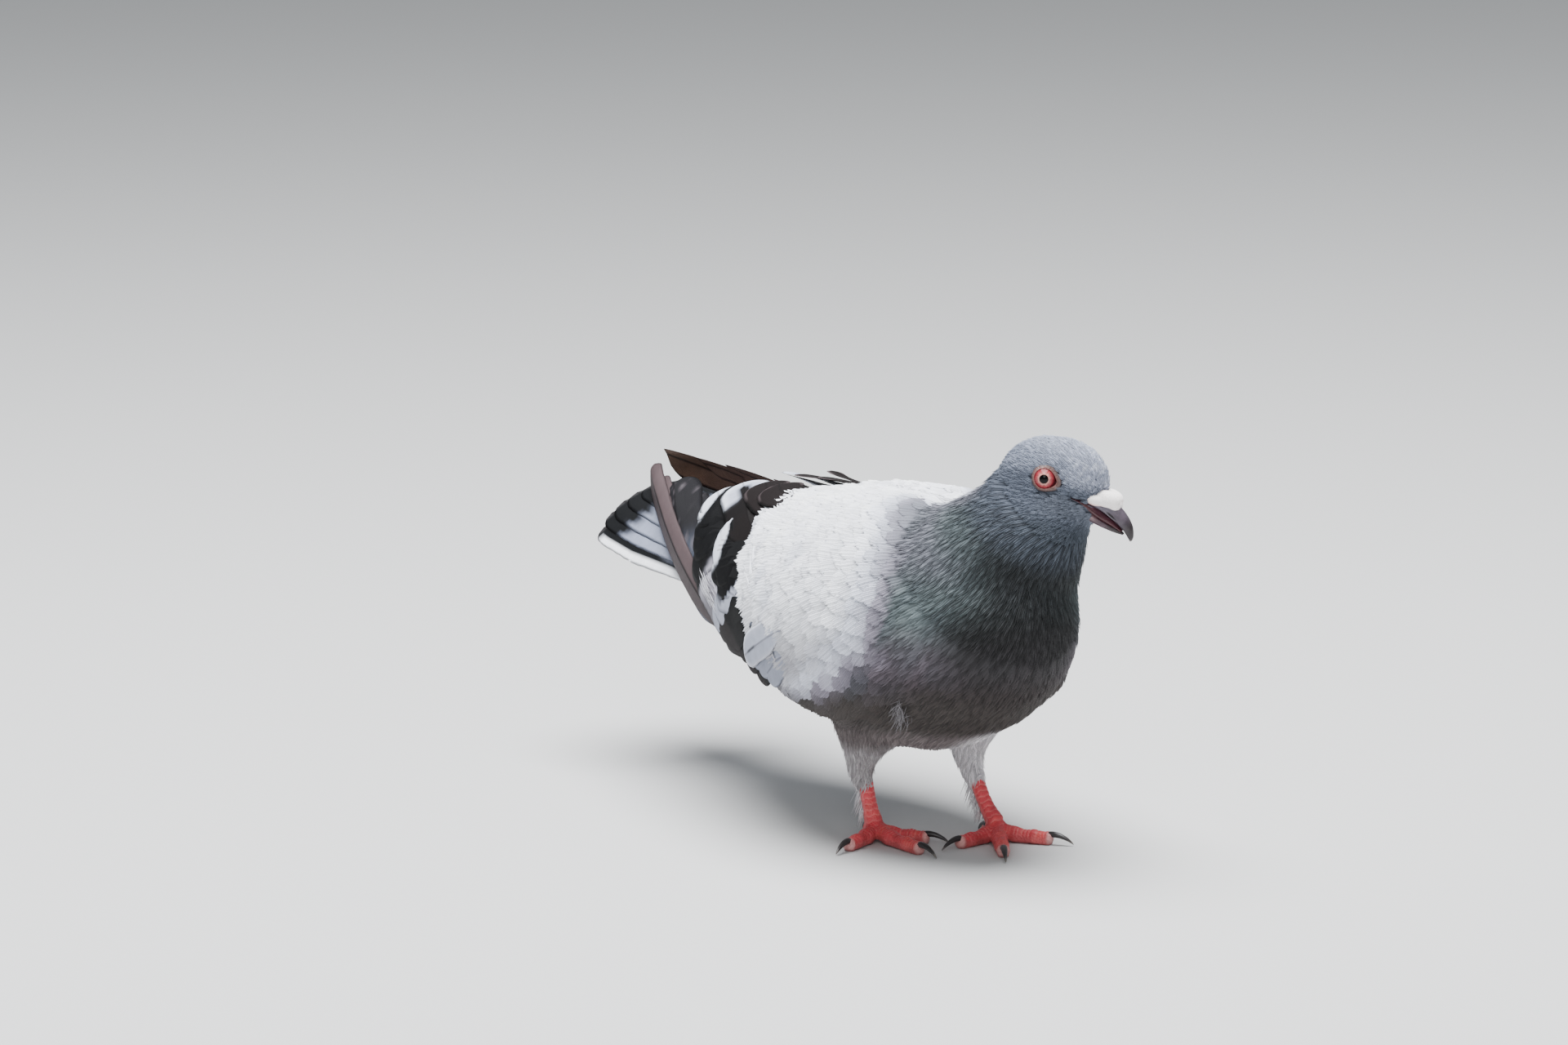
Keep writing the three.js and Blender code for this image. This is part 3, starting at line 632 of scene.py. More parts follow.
def coat_tree():
    tree = bpy.data.node_groups.new("set feathers on skin", "GeometryNodeTree")
    tree.interface.new_socket("Geometry", in_out="INPUT", socket_type="NodeSocketGeometry")
    tree.interface.new_socket("Geometry", in_out="OUTPUT", socket_type="NodeSocketGeometry")
    for name, kind in (
        ("Form", "Object"), ("Vanes", "Collection"), ("Part", "Int"), ("Spacing", "Float"),
        ("Length", "Float"), ("Width", "Float"), ("Root Height", "Float"), ("Tip Height", "Float"),
        ("Yaw", "Float"), ("Seed", "Int"), ("Finish", "Material"),
    ):
        tree.interface.new_socket(name, in_out="INPUT", socket_type="NodeSocket" + kind)
    nodes, links = tree.nodes, tree.links
    given = nodes.new("NodeGroupInput").outputs
    out = nodes.new("NodeGroupOutput")

    def read(name, kind):
        node = nodes.new("GeometryNodeInputNamedAttribute")
        node.data_type = kind
        node.inputs["Name"].default_value = name
        return node.outputs["Attribute"]

    def random(low, high, seed):
        node = nodes.new("FunctionNodeRandomValue")
        node.inputs[2].default_value = low
        node.inputs[3].default_value = high
        node.inputs["Seed"].default_value = seed
        return node.outputs[1]

    def reckon(what, *values):
        return maths(nodes, links, what, *values)

    def product(first, *others):
        for other in others:
            first = reckon("MULTIPLY", first, other)
        return first

    def store(geometry, name, kind, value):
        node = nodes.new("GeometryNodeStoreNamedAttribute")
        node.data_type = kind
        node.inputs["Name"].default_value = name
        links.new(geometry, node.inputs["Geometry"])
        links.new(value, node.inputs["Value"])
        return node.outputs[0]

    # Roots, scattered over the chosen part wherever it is covered.
    chosen = nodes.new("FunctionNodeCompare")
    chosen.data_type = "INT"
    chosen.operation = "EQUAL"
    links.new(read("part", "INT"), chosen.inputs[2])
    links.new(given["Part"], chosen.inputs[3])
    scatter = nodes.new("GeometryNodeDistributePointsOnFaces")
    scatter.distribute_method = "POISSON"
    links.new(given["Geometry"], scatter.inputs["Mesh"])
    links.new(chosen.outputs[0], scatter.inputs["Selection"])
    links.new(given["Spacing"], scatter.inputs["Distance Min"])
    scatter.inputs["Density Max"].default_value = 4e6
    links.new(read("cover", "FLOAT"), scatter.inputs["Density Factor"])
    links.new(given["Seed"], scatter.inputs["Seed"])

    where = nodes.new("GeometryNodeInputPosition").outputs[0]
    roots = store(scatter.outputs["Points"], "root", "FLOAT_VECTOR", where)
    roots = store(roots, "chance", "FLOAT", random(0, 1, 3))

    # One vane on each root, along the lie of the coat and a little turned and resized.
    turn = nodes.new("FunctionNodeAxesToRotation")
    turn.primary_axis = "Z"
    turn.secondary_axis = "X"
    links.new(scatter.outputs["Normal"], turn.inputs["Primary Axis"])
    links.new(read("lie", "FLOAT_VECTOR"), turn.inputs["Secondary Axis"])
    swing = nodes.new("FunctionNodeAxisAngleToRotation")
    swing.inputs["Axis"].default_value = (0, 0, 1)
    links.new(reckon("MULTIPLY", given["Yaw"], random(-1, 1, 5)), swing.inputs["Angle"])
    turned = nodes.new("FunctionNodeRotateRotation")
    turned.rotation_space = "LOCAL"
    links.new(turn.outputs[0], turned.inputs["Rotation"])
    links.new(swing.outputs[0], turned.inputs["Rotate By"])
    size = nodes.new("ShaderNodeCombineXYZ")
    grow = read("grow", "FLOAT")
    links.new(product(given["Length"], grow, random(0.85, 1.15, 7)), size.inputs[0])
    links.new(product(given["Width"], grow, random(0.9, 1.15, 9)), size.inputs[1])
    size.inputs[2].default_value = 1
    several = nodes.new("GeometryNodeCollectionInfo")
    several.inputs["Separate Children"].default_value = True
    several.inputs["Reset Children"].default_value = True
    links.new(given["Vanes"], several.inputs["Collection"])
    lay = nodes.new("GeometryNodeInstanceOnPoints")
    lay.inputs["Pick Instance"].default_value = True
    pick = nodes.new("FunctionNodeRandomValue")
    pick.data_type = "INT"
    pick.inputs[4].default_value = 0
    pick.inputs[5].default_value = 30
    links.new(roots, lay.inputs["Points"])
    links.new(several.outputs[0], lay.inputs["Instance"])
    links.new(pick.outputs[2], lay.inputs["Instance Index"])
    links.new(turned.outputs[0], lay.inputs["Rotation"])
    links.new(size.outputs[0], lay.inputs["Scale"])
    real = nodes.new("GeometryNodeRealizeInstances")
    links.new(lay.outputs[0], real.inputs[0])

    # Each vane is moulded to the bird's outline, from a sunken root to a tip that lies on it.
    shape = nodes.new("GeometryNodeObjectInfo")
    links.new(given["Form"], shape.inputs["Object"])
    touch = nodes.new("GeometryNodeProximity")
    links.new(shape.outputs["Geometry"], touch.inputs[0])
    outward = nodes.new("GeometryNodeSampleNearestSurface")
    outward.data_type = "FLOAT_VECTOR"
    links.new(shape.outputs["Geometry"], outward.inputs["Mesh"])
    links.new(read("out", "FLOAT_VECTOR"), outward.inputs["Value"])
    along = read("along", "FLOAT")
    across = read("across", "FLOAT")
    climb = product(reckon("SUBTRACT", given["Tip Height"], given["Root Height"]), along)
    dome = product(across, across, -0.0012)
    loose = product(reckon("POWER", read("chance", "FLOAT"), 3.0), along, 0.0006)
    height = reckon("ADD", reckon("ADD", given["Root Height"], climb), read("level", "FLOAT"))
    height = reckon("ADD", reckon("ADD", height, product(dome, along)), loose)
    lifted = nodes.new("ShaderNodeVectorMath")
    lifted.operation = "SCALE"
    links.new(outward.outputs["Value"], lifted.inputs[0])
    links.new(height, lifted.inputs["Scale"])
    moulded = nodes.new("ShaderNodeVectorMath")
    links.new(touch.outputs["Position"], moulded.inputs[0])
    links.new(lifted.outputs[0], moulded.inputs[1])
    settle = nodes.new("GeometryNodeSetPosition")
    links.new(real.outputs[0], settle.inputs["Geometry"])
    links.new(moulded.outputs[0], settle.inputs["Position"])
    finish = nodes.new("GeometryNodeSetMaterial")
    links.new(settle.outputs[0], finish.inputs["Geometry"])
    links.new(given["Finish"], finish.inputs["Material"])
    links.new(finish.outputs[0], out.inputs[0])
    return tree


def set_inputs(modifier, **values):
    for item in modifier.node_group.interface.items_tree:
        key = item.name.replace(" ", "_")
        if item.in_out == "INPUT" and key in values:
            modifier[item.identifier] = values[key]


def plain_mesh(piece, name):
    state = bpy.context.evaluated_depsgraph_get()
    mesh = bpy.data.meshes.new_from_object(
        piece.evaluated_get(state), preserve_all_data_layers=True, depsgraph=state
    )
    mesh.name = name
    return mesh


def grey(nodes, links, tone):
    node = nodes.new("ShaderNodeCombineColor")
    for socket in node.inputs:
        links.new(tone, socket)
    return node.outputs[0]


vane_finish, nodes, links, shader = new_material("feather vane", 0.65, Specular_IOR_Level=0.2)
own = attribute(nodes, "plumage", "Color")
place = place_of(nodes)
speck = noise(nodes, links, 1600, 2, place)
lock_tone = maths(nodes, links, "MULTIPLY_ADD", attribute(nodes, "shade"), 0.26, 0.84)
tone = maths(nodes, links, "MULTIPLY", lock_tone, maths(nodes, links, "MULTIPLY_ADD", speck, 0.3, 0.86))
shaded = mixed(nodes, links, "MULTIPLY", 1.0, own, grey(nodes, links, tone))
links.new(shaded, shader.inputs["Base Color"])
barbs = nodes.new("ShaderNodeTexWave")
barbs.inputs["Scale"].default_value = 900
barbs.inputs["Distortion"].default_value = 6
barbs.inputs["Detail"].default_value = 1
links.new(place, barbs.inputs["Vector"])
bumped(nodes, links, shader, maths(nodes, links, "ADD", barbs.outputs["Fac"], speck), 0.00006)

laying = coat_tree()
form_piece = on_show("form", form)
toward_shoulder = np.interp(face_centres[:, 0], [-30, 14], [1.0, 0.6])
on_arm = (skin_part == ARM_RIGHT) | (skin_part == ARM_LEFT)
write(skin_mesh, "grow", "FLOAT", np.where(on_arm, toward_shoulder, 1.0), "FACE")
host = on_show("host", skin_mesh)


def lay_out(mesh, name, spots):
    """Gives the mesh a flat layout, with one spot for each of its places."""
    corner = np.empty(len(mesh.loops), np.int32)
    mesh.loops.foreach_get("vertex_index", corner)
    layer = mesh.uv_layers.new(name=name)
    layer.data.foreach_set("uv", spots[corner].astype(np.float32).ravel())


def clothe(name, part, vanes, spacing, length, width, heights, yaw, seed, slot, streak=0.0, scale=0.1):
    """Sets one part's feathers on the skin. The sizes are in millimetres, and heights are root and tip."""
    modifier = host.modifiers.new("coat", "NODES")
    modifier.node_group = laying
    set_inputs(
        modifier, Form=form_piece, Vanes=vanes, Part=int(part), Spacing=spacing / 1000, Length=length / 1000,
        Width=width / 1000, Root_Height=heights[0] / 1000, Tip_Height=heights[1] / 1000,
        Yaw=math.radians(yaw), Seed=seed, Finish=vane_finish,
    )
    mesh = plain_mesh(host, name)
    host.modifiers.remove(modifier)
    places = in_bird(mesh_places(mesh))

    def read(layer, width=1):
        flat = np.empty(len(places) * width)
        mesh.attributes[layer].data.foreach_get("value" if width == 1 else "vector", flat)
        return flat if width == 1 else flat.reshape(-1, width)

    roots = in_bird(read("root", 3))
    along = read("along")
    # scale paints each feather darker towards its root and lighter at its tip, as painted shade under the
    # feathers that overlap it.
    tone = 0.89 + 0.2 * read("chance") + scale * (along - 0.6)
    # streak darkens some of the locks, as painted shadow in the gaps between the feathers.
    tone = tone * (1 - streak * ease(read("shade"), 0.45, 0.15))
    write_plumage(mesh, plumage(0.6 * roots + 0.4 * places) * tone[:, None])
    lay_out(mesh, "OFBake", unwrapped(roots) + TUFT_PATCH * np.stack([read("across"), along - 0.5], 1))
    finished(name, mesh, slot)


fine_vanes = vane_set("fine vane", 4, locks=3, split=0.45, roundness=0.25, rows=3, frays=0.2)
hackles = vane_set("hackle", 4, locks=4, split=0.35, roundness=0.3, rows=3, frays=0.25)
soft_vanes = vane_set("soft vane", 4, locks=5, split=0.55, roundness=0.45, rows=4, frays=0.12)
covert_vanes = vane_set("covert vane", 4, locks=12, split=0.88, roundness=0.45, rows=4, frays=0.12)
hairy_vanes = vane_set("hairy vane", 4, locks=4, split=0.2, roundness=0.3, rows=3, frays=0.35)

clothe(
    "head_coat", HEAD, fine_vanes, 0.62, 3.2, 1.3, (-0.55, 0.12), 8, 1, "head_feathers",
    streak=0.12, scale=0.12,
)
clothe(
    "neck_coat", NECK, hackles, 1.5, 7.5, 2.5, (-1.0, 0.3), 8, 2, "neck_feathers",
    streak=0.5, scale=0.35,
)
clothe(
    "breast_coat", TRUNK, soft_vanes, 2.4, 10.5, 5.0, (-1.0, 0.25), 8, 3, "body_feathers",
    streak=0.3, scale=0.2,
)
clothe(
    "back_coat", REAR, soft_vanes, 2.7, 12.0, 6.4, (-1.0, 0.3), 8, 3, "body_feathers",
    streak=0.1, scale=0.2,
)
for side_name, part in (("right", ARM_RIGHT), ("left", ARM_LEFT)):
    clothe(
        f"wing_{side_name}_coat", part, covert_vanes, 4.5, 16.5, 12.5, (-1.0, 0.4), 9, 4, "covert_feathers",
        scale=0.24,
    )
for side_name, part in (("right", THIGH_RIGHT), ("left", THIGH_LEFT)):
    clothe(
        f"thigh_{side_name}_coat", part, hairy_vanes, 1.3, 8.0, 1.9, (-0.9, 0.5), 12, 5, "thigh_feathers",
        streak=0.22, scale=0.2,
    )
put_away(fine_vanes, hackles, soft_vanes, covert_vanes, hairy_vanes)
bpy.data.objects.remove(host)
bpy.data.objects.remove(form_piece)


# ---------------------------------------------------------------- the folded wings
# Horn-stiff vanes on quills set in the forearm and hand: long primaries in a narrow stack, broad
# secondaries and tertials over them, and greater coverts over those. Each vane lies on the folded wing's
# outer face, where s is the distance up round the wing from its widest line.
WING_FACE = [
    [46, 27, 109, 84], [34, 35.5, 117.5, 83], [20, 43, 122.5, 81.5], [5, 48.5, 124, 79],
    [-15, 51.5, 123, 76], [-50, 49.5, 119, 70], [-85, 44.5, 113, 72], [-120, 37, 109, 79],
    [-150, 28, 107.5, 87], [-180, 17, 107, 96], [-200, 9, 106, 102],
]
WING_UNDER = 58
CROSSING = {"across": -11, "up": 5, "from": -70, "to": -190}  # the left wing's tip, over the right one
VANE_THICK = 0.32
RACHIS = 0.18


def curve_through(points, count):
    """A smooth curve through rows of numbers, taken at evenly spaced steps."""
    points = np.asarray(points, float)
    ends = np.vstack([2 * points[0] - points[1], points, 2 * points[-1] - points[-2]])
    at = np.linspace(0, len(points) - 1, count)
    row = np.clip(at.astype(int), 0, len(points) - 2)
    t = (at - row)[:, None]
    a, b, c, d = ends[row], ends[row + 1], ends[row + 2], ends[row + 3]
    return 0.5 * (2 * b + (c - a) * t + (2 * a - 5 * b + 4 * c - d) * t**2 + (3 * b - a - 3 * c + d) * t**3)


face_rows = curve_through(WING_FACE, 300)[::-1]
face_x = np.arange(-215, 46, 1.0)
face_s = np.arange(-45, 96, 1.0)
face_y = np.empty((len(face_x), len(face_s)))
face_z = np.empty_like(face_y)
angles = np.linspace(-1.35, 2.2, 400)
for row, x in enumerate(face_x):
    wide, top, middle = (np.interp(x, face_rows[:, 0], face_rows[:, k]) for k in (1, 2, 3))
    section_y = -wide * np.cos(angles)
    section_z = middle + np.where(angles > 0, top - middle, WING_UNDER) * np.sin(angles)
    walk = np.r_[0, np.cumsum(np.hypot(np.diff(section_y), np.diff(section_z)))]
    walk -= np.interp(0, angles, walk)
    face_y[row] = np.interp(face_s, walk, section_y)
    face_z[row] = np.interp(face_s, walk, section_z)


def on_face(x, s):
    """Where a spot of the wing's face, x along the bird and s up round the wing, lies in the bird's frame."""
    row = np.clip(x - face_x[0], 0, len(face_x) - 1.001)
    column = np.clip(s - face_s[0], 0, len(face_s) - 1.001)
    i, j = row.astype(int), column.astype(int)
    u, v = row - i, column - j

    def read(table):
        low = table[i, j] * (1 - v) + table[i, j + 1] * v
        high = table[i + 1, j] * (1 - v) + table[i + 1, j + 1] * v
        return low * (1 - u) + high * u

    return np.stack([x, read(face_y), read(face_z)], -1)


def off_face(x, s, lift):
    here = on_face(x, s)
    out = unit(np.cross(on_face(x + 1.5, s) - on_face(x - 1.5, s), on_face(x, s + 1.5) - on_face(x, s - 1.5)))
    return here + out * np.asarray(lift)[..., None]


ACROSS = np.array([-1, -0.82, -0.6, -0.36, -0.14, -0.03, 0.03, 0.14, 0.36, 0.6, 0.82, 1])


def vane_grid(length, half_low, half_high, rows, blunt, fray, seed, base=0.4, swell=0.35):
    """A vane laid flat: distance along, distance across, thickness share, and how far in from its edge."""
    chance = np.random.default_rng(seed)
    cap = min(0.6, blunt * (half_low + half_high) / 2 / length)
    share = 1 - (1 - np.linspace(0, 1, rows)) ** 1.25
    tip = np.clip((share - (1 - cap)) / cap, 0, 1)
    grown = base + (1 - base) * ease(share, 0, swell)
    shape = grown * np.sqrt(np.clip(1 - tip**2.2, 0, 1))
    shape[0] = 0
    along = np.repeat(share[:, None] * length, len(ACROSS), 1)
    half = np.where(ACROSS[None] > 0, half_high, half_low)
    across = ACROSS[None] * half * shape[:, None]
    ragged = fray * (chance.random((rows, 2)) - 0.35) * ease(share, 0.2, 0.5)[:, None]
    across[1:-1, 0] += ragged[1:-1, 0]
    across[1:-1, -1] -= ragged[1:-1, 1]
    reach = np.hypot(tip[:, None], np.abs(ACROSS)[None] * shape[:, None] / grown[:, None].clip(0.01))
    inset = (1 - reach).clip(0) * half
    return along, across, inset, share


def closed_vane(top, under):
    """Joins a vane's two faces at the rim into one thin closed shell; the first and last rows are poles."""
    rows, columns = top.shape[:2]
    places, faces = [], []
    place_of_top = np.empty((rows, columns), int)
    place_of_under = np.empty((rows, columns), int)
    kept = []
    for i in range(rows):
        for j in range(columns):
            if i in (0, rows - 1) and j:
                place_of_top[i, j] = place_of_under[i, j] = place_of_top[i, 0]
                continue
            place_of_top[i, j] = place_of_under[i, j] = len(places)
            places.append(top[i, j])
            kept.append((i, j))
            if 0 < j < columns - 1 and 0 < i < rows - 1:
                place_of_under[i, j] = len(places)
                places.append(under[i, j])
                kept.append((i, j))
    for i in range(rows - 1):
        for j in range(columns - 1):
            for grid, turn in ((place_of_top, 1), (place_of_under, -1)):
                face = [grid[i, j], grid[i, j + 1], grid[i + 1, j + 1], grid[i + 1, j]]
                face = list(dict.fromkeys(face))
                if len(face) > 2:
                    faces.append(face[::turn])
    return np.array(places), faces, np.array(kept)


class Plumes:
    """Many laid vanes gathered into one piece."""

    def __init__(self):
        self.places, self.faces, self.colours, self.flat, self.count = [], [], [], [], 0

    def add(self, top, under, along, across, colour):
        places, faces, kept = closed_vane(top, under)
        self.faces += [[v + self.count for v in face] for face in faces]
        self.places.append(places)
        rows, columns = kept.T
        self.colours.append(colour[rows, columns])
        self.flat.append(np.stack([across[rows, columns], along[rows, columns]], 1))
        self.count += len(places)

    def piece(self, name, slot, replaced, move=None):
        places, faces = np.vstack(self.places), self.faces
        if move:
            places = move(places)
            faces = [face[::-1] for face in faces]
        mesh = mesh_of(name, in_frame(places), faces)
        write_plumage(mesh, np.vstack(self.colours))
        lay_out(mesh, "vane", np.vstack(self.flat) / 100)
        mesh.materials.append(quill_finish)
        finished(name, mesh, slot, replaced)


def wing_vane(plumes, path, half_low, half_high, lift, paint, seed, rows=26, blunt=1.0, fray=0.3, tilt=0.35):
    """One vane on the wing's face along path, a list of (x, s) from root to tip, with its two half widths."""
    line = curve_through(path, 60)
    walk = np.r_[0, np.cumsum(np.linalg.norm(np.diff(line, axis=0), axis=1))]
    along, across, inset, share = vane_grid(walk[-1], half_low, half_high, rows, blunt, fray, seed)
    at = share * walk[-1]
    centre = np.stack([np.interp(at, walk, line[:, k]) for k in (0, 1)], 1)
    way = np.gradient(centre, axis=0)
    way /= np.linalg.norm(way, axis=1, keepdims=True)
    low = np.stack([-way[:, 1], way[:, 0]], 1)
    flat = centre[:, None] - low[:, None] * across[..., None]
    width = max(half_low, half_high)
    height = np.interp(share, np.linspace(0, 1, len(lift)), lift)[:, None] - tilt * across / width
    body = np.sqrt(np.clip(inset / (0.45 * width), 0, 1))
    rib = RACHIS * np.exp(-((across / 0.5) ** 2)) * (1 - share[:, None]) ** 0.4
    top = off_face(flat[..., 0], flat[..., 1], height + VANE_THICK / 2 * body + rib)
    under = off_face(flat[..., 0], flat[..., 1], height - VANE_THICK / 2 * body - 0.6 * rib)
    colour = paint(flat, across, along, inset, share[:, None] + 0 * across)
    plumes.add(top, under, along, across, colour)


def crossed_wing(places):
    """The right wing's places as the left wing's, whose tip lies over the right one."""
    share = np.clip((places[:, 0] - CROSSING["from"]) / (CROSSING["to"] - CROSSING["from"]), 0, 1)
    out = places * np.array([1, -1, 1])
    out[:, 1] += CROSSING["across"] * share**2
    out[:, 2] += CROSSING["up"] * share
    return out


def distance_to(flat, curve):
    """How far each spot of the wing's face lies inside an edge, and how far up the edge it is nearest."""
    curve = curve_through(curve, 80)
    points = flat.reshape(-1, 2)
    start, step = curve[:-1], np.diff(curve, axis=0)
    share = ((points[:, None] - start[None]) * step[None]).sum(2) / (step**2).sum(1)[None]
    foot = start[None] + np.clip(share, 0, 1)[..., None] * step[None]
    away = points[:, None] - foot
    gap = np.linalg.norm(away, axis=2)
    best = gap.argmin(1)
    pick = np.arange(len(points))
    inside = step[best, 1] * away[pick, best, 0] - step[best, 0] * away[pick, best, 1] > 0
    climb = (best + np.clip(share[pick, best], 0, 1)) / len(step)
    depth = gap[pick, best] * np.where(inside, 1, -1)
    return depth.reshape(flat.shape[:-1]), climb.reshape(flat.shape[:-1])


quill_finish, nodes, links, shader = new_material("quill feather", 0.6, Specular_IOR_Level=0.1)
layout = nodes.new("ShaderNodeUVMap")
layout.uv_map = "vane"
parts = nodes.new("ShaderNodeSeparateXYZ")
links.new(layout.outputs[0], parts.inputs[0])
aside = maths(nodes, links, "ABSOLUTE", parts.outputs[0])
wander = noise(nodes, links, 260, 2, place_of(nodes))
barb_at = maths(nodes, links, "SUBTRACT", parts.outputs[1], maths(nodes, links, "MULTIPLY", aside, 0.9))
barb_at = maths(nodes, links, "MULTIPLY_ADD", wander, 0.004, barb_at)
barb = maths(nodes, links, "SINE", maths(nodes, links, "MULTIPLY", barb_at, 1250.0))
tone = maths(nodes, links, "MULTIPLY_ADD", barb, 0.055, 0.96)
tone = maths(nodes, links, "MULTIPLY", tone, maths(nodes, links, "MULTIPLY_ADD", wander, 0.35, 0.83))
own = attribute(nodes, "plumage", "Color")
body = mixed(nodes, links, "MULTIPLY", 1.0, own, grey(nodes, links, tone))
from_shaft = maths(nodes, links, "MULTIPLY", aside, 100.0)
shaft = ramp(nodes, links, from_shaft, (0.25, (0.62, 0.6, 0.6)), (0.55, (1, 1, 1)))
links.new(mixed(nodes, links, "MULTIPLY", 1.0, body, shaft), shader.inputs["Base Color"])
bumped(nodes, links, shader, barb, 0.00005)

BLACK = (9, 9, 11)
WHITE = (214, 219, 230)
CHARCOAL = (28, 27, 30)
LAVENDER = (100, 106, 122)

# Edges of the rows on the folded wing, each as (x, s) from its low front end to its high rear end.
SECONDARY_TIPS = [
    (-37, -15.5), (-50, -8), (-62, -1.5), (-74, 3), (-84, 6.5), (-92, 9), (-100, 11), (-107, 13.5),
    (-114.7, 16.7), (-122, 22.5), (-128.5, 27.5), (-129, 36), (-122, 44), (-112, 52),
]
COVERT_TIPS = [
    (-30, -16), (-38, -11), (-44, -6), (-47, -1), (-58, 1), (-70, 0), (-78, 3), (-76, 8), (-78, 13),
    (-84, 17), (-89, 19), (-93, 22), (-95.5, 27), (-94, 33), (-86, 38), (-78, 44), (-72, 52),
]


def shaft_line(across, width):
    return np.exp(-((across / width) ** 2))


# A vane's paint gives the colour at each of its places. It knows where the place lies on the wing's face, how
# far it lies across the vane, along it and in from its edge, and its share of the vane's length.
def paint_primary(flat, across, along, inset, share):
    return painted(
        (76, 68, 70), share.shape,
        ((90, 76, 78), ease(across, 0.3, 1.2)),
        ((60, 52, 54), ease(inset, 1.2, 0.0) * 0.7),
        ((60, 48, 50), ease(share, 0.88, 1.0) * 0.5),
        ((22, 17, 18), shaft_line(across, 0.5) * ease(share, 0.96, 0.8) * 0.9),
    )


def paint_far_primary(flat, across, along, inset, share):
    return painted(
        (98, 76, 64), share.shape,
        ((132, 106, 100), ease(share, 0.72, 0.5)),
        ((46, 34, 30), ease(inset, 1.0, 0.0) * 0.7),
        ((34, 25, 22), shaft_line(across, 0.6) * 0.8),
    )


def paint_inner(flat, across, along, inset, share):
    dark = ease(flat[..., 0] * 0.7 - flat[..., 1], -82, -106)
    veins = np.sin(across * 2.1 + 0.06 * along) * np.sin(along * 0.31 + across * 0.8)
    return painted(LAVENDER, share.shape, (CHARCOAL, dark), ((126, 118, 124), ease(veins, 0.6, 0.95) * 0.4))


def paint_secondary(flat, across, along, inset, share):
    deep, climb = distance_to(flat, SECONDARY_TIPS)
    wide = 5.2 * ease(climb, 0.62, 0.74) * ease(climb, 0.88, 0.78)
    return painted(
        BLACK, share.shape,
        (LAVENDER, ease(deep, 12, 14) * ease(climb, 0.44, 0.36)),
        ((176, 174, 186), ease(deep, 8.5, 6.5) * ease(climb, 0.41, 0.37) * ease(climb, 0.2, 0.25)),
        ((44, 39, 40), ease(deep, 1.5, 0.4) * ease(climb, 0.4, 0.3) * 0.6),
        (WHITE, ease(wide - deep, -0.7, 0.7) * ease(wide, 0.5, 2)),
    )


def paint_greater(flat, across, along, inset, share):
    deep, climb = distance_to(flat, COVERT_TIPS)
    wide = 6.6 * ease(climb, 0.52, 0.66) * ease(climb, 0.84, 0.72)
    return painted(
        (168, 172, 186), share.shape,
        ((140, 145, 160), ease(climb, 0.16, 0.1) * 0.8),
        (BLACK, ease(climb, 0.42, 0.44)),
        (WHITE, ease(wide - deep, -0.7, 0.7) * ease(wide, 0.5, 2)),
    )


def paint_tertial(flat, across, along, inset, share):
    white = ease(inset, 7.5, 6.6) * ease(share, 0.66, 0.74)
    # The white tip turns blue-grey away from its edge, as painted shade for the curl of the tip.
    tip = painted(WHITE, share.shape, ((150, 156, 178), ease(inset, 1, 5) * 0.6))
    return blend(painted((22, 18, 18), share.shape, (BLACK, ease(share, 0.35, 0.6) * 0.4)), tip, white)


def paint_dark_tertial(flat, across, along, inset, share):
    edge = ease(inset, 0.7, 0.2) * ease(share, 0.7, 0.8)
    return painted((24, 19, 19), share.shape, ((110, 98, 100), edge))


def paint_pale_covert(flat, across, along, inset, share):
    streak = shaft_line(across, 0.35) * ease(share, 0.62, 0.68) * ease(share, 0.9, 0.84)
    return painted(
        (170, 175, 190), share.shape,
        ((214, 216, 226), ease(inset, 1.6, 0.2)),
        ((24, 22, 26), streak),
    )


def row_of_vanes(plumes, tips, first, last, count, length, half, lift, paint, seed, **shape):
    """Vanes side by side, whose tips lie along the row's edge from share first to share last of it."""
    edge = curve_through(tips, 200)
    slope = unit(np.gradient(edge, axis=0))
    for number in range(count):
        at = int(199 * (first + (last - first) * number / max(count - 1, 1)))
        tip, out = edge[at], np.array([-slope[at, 1], slope[at, 0]])
        out = out if out[0] < 0 else -out
        out = np.array([-1.0, 0.0]) if abs(out[0]) < 0.35 else out
        way = unit(blend(out[None], np.array([[-1.0, 0.15]]), 0.5))[0]
        back = unit(blend(way[None], np.array([[-1.0, 0.25]]), 0.6))[0]
        bend = tip - way * length * 0.45
        path = [bend - back * length * 0.55, bend, tip - way * length * 0.15, tip]
        wing_vane(plumes, path, half, half, lift, paint, seed=seed + number, **shape)


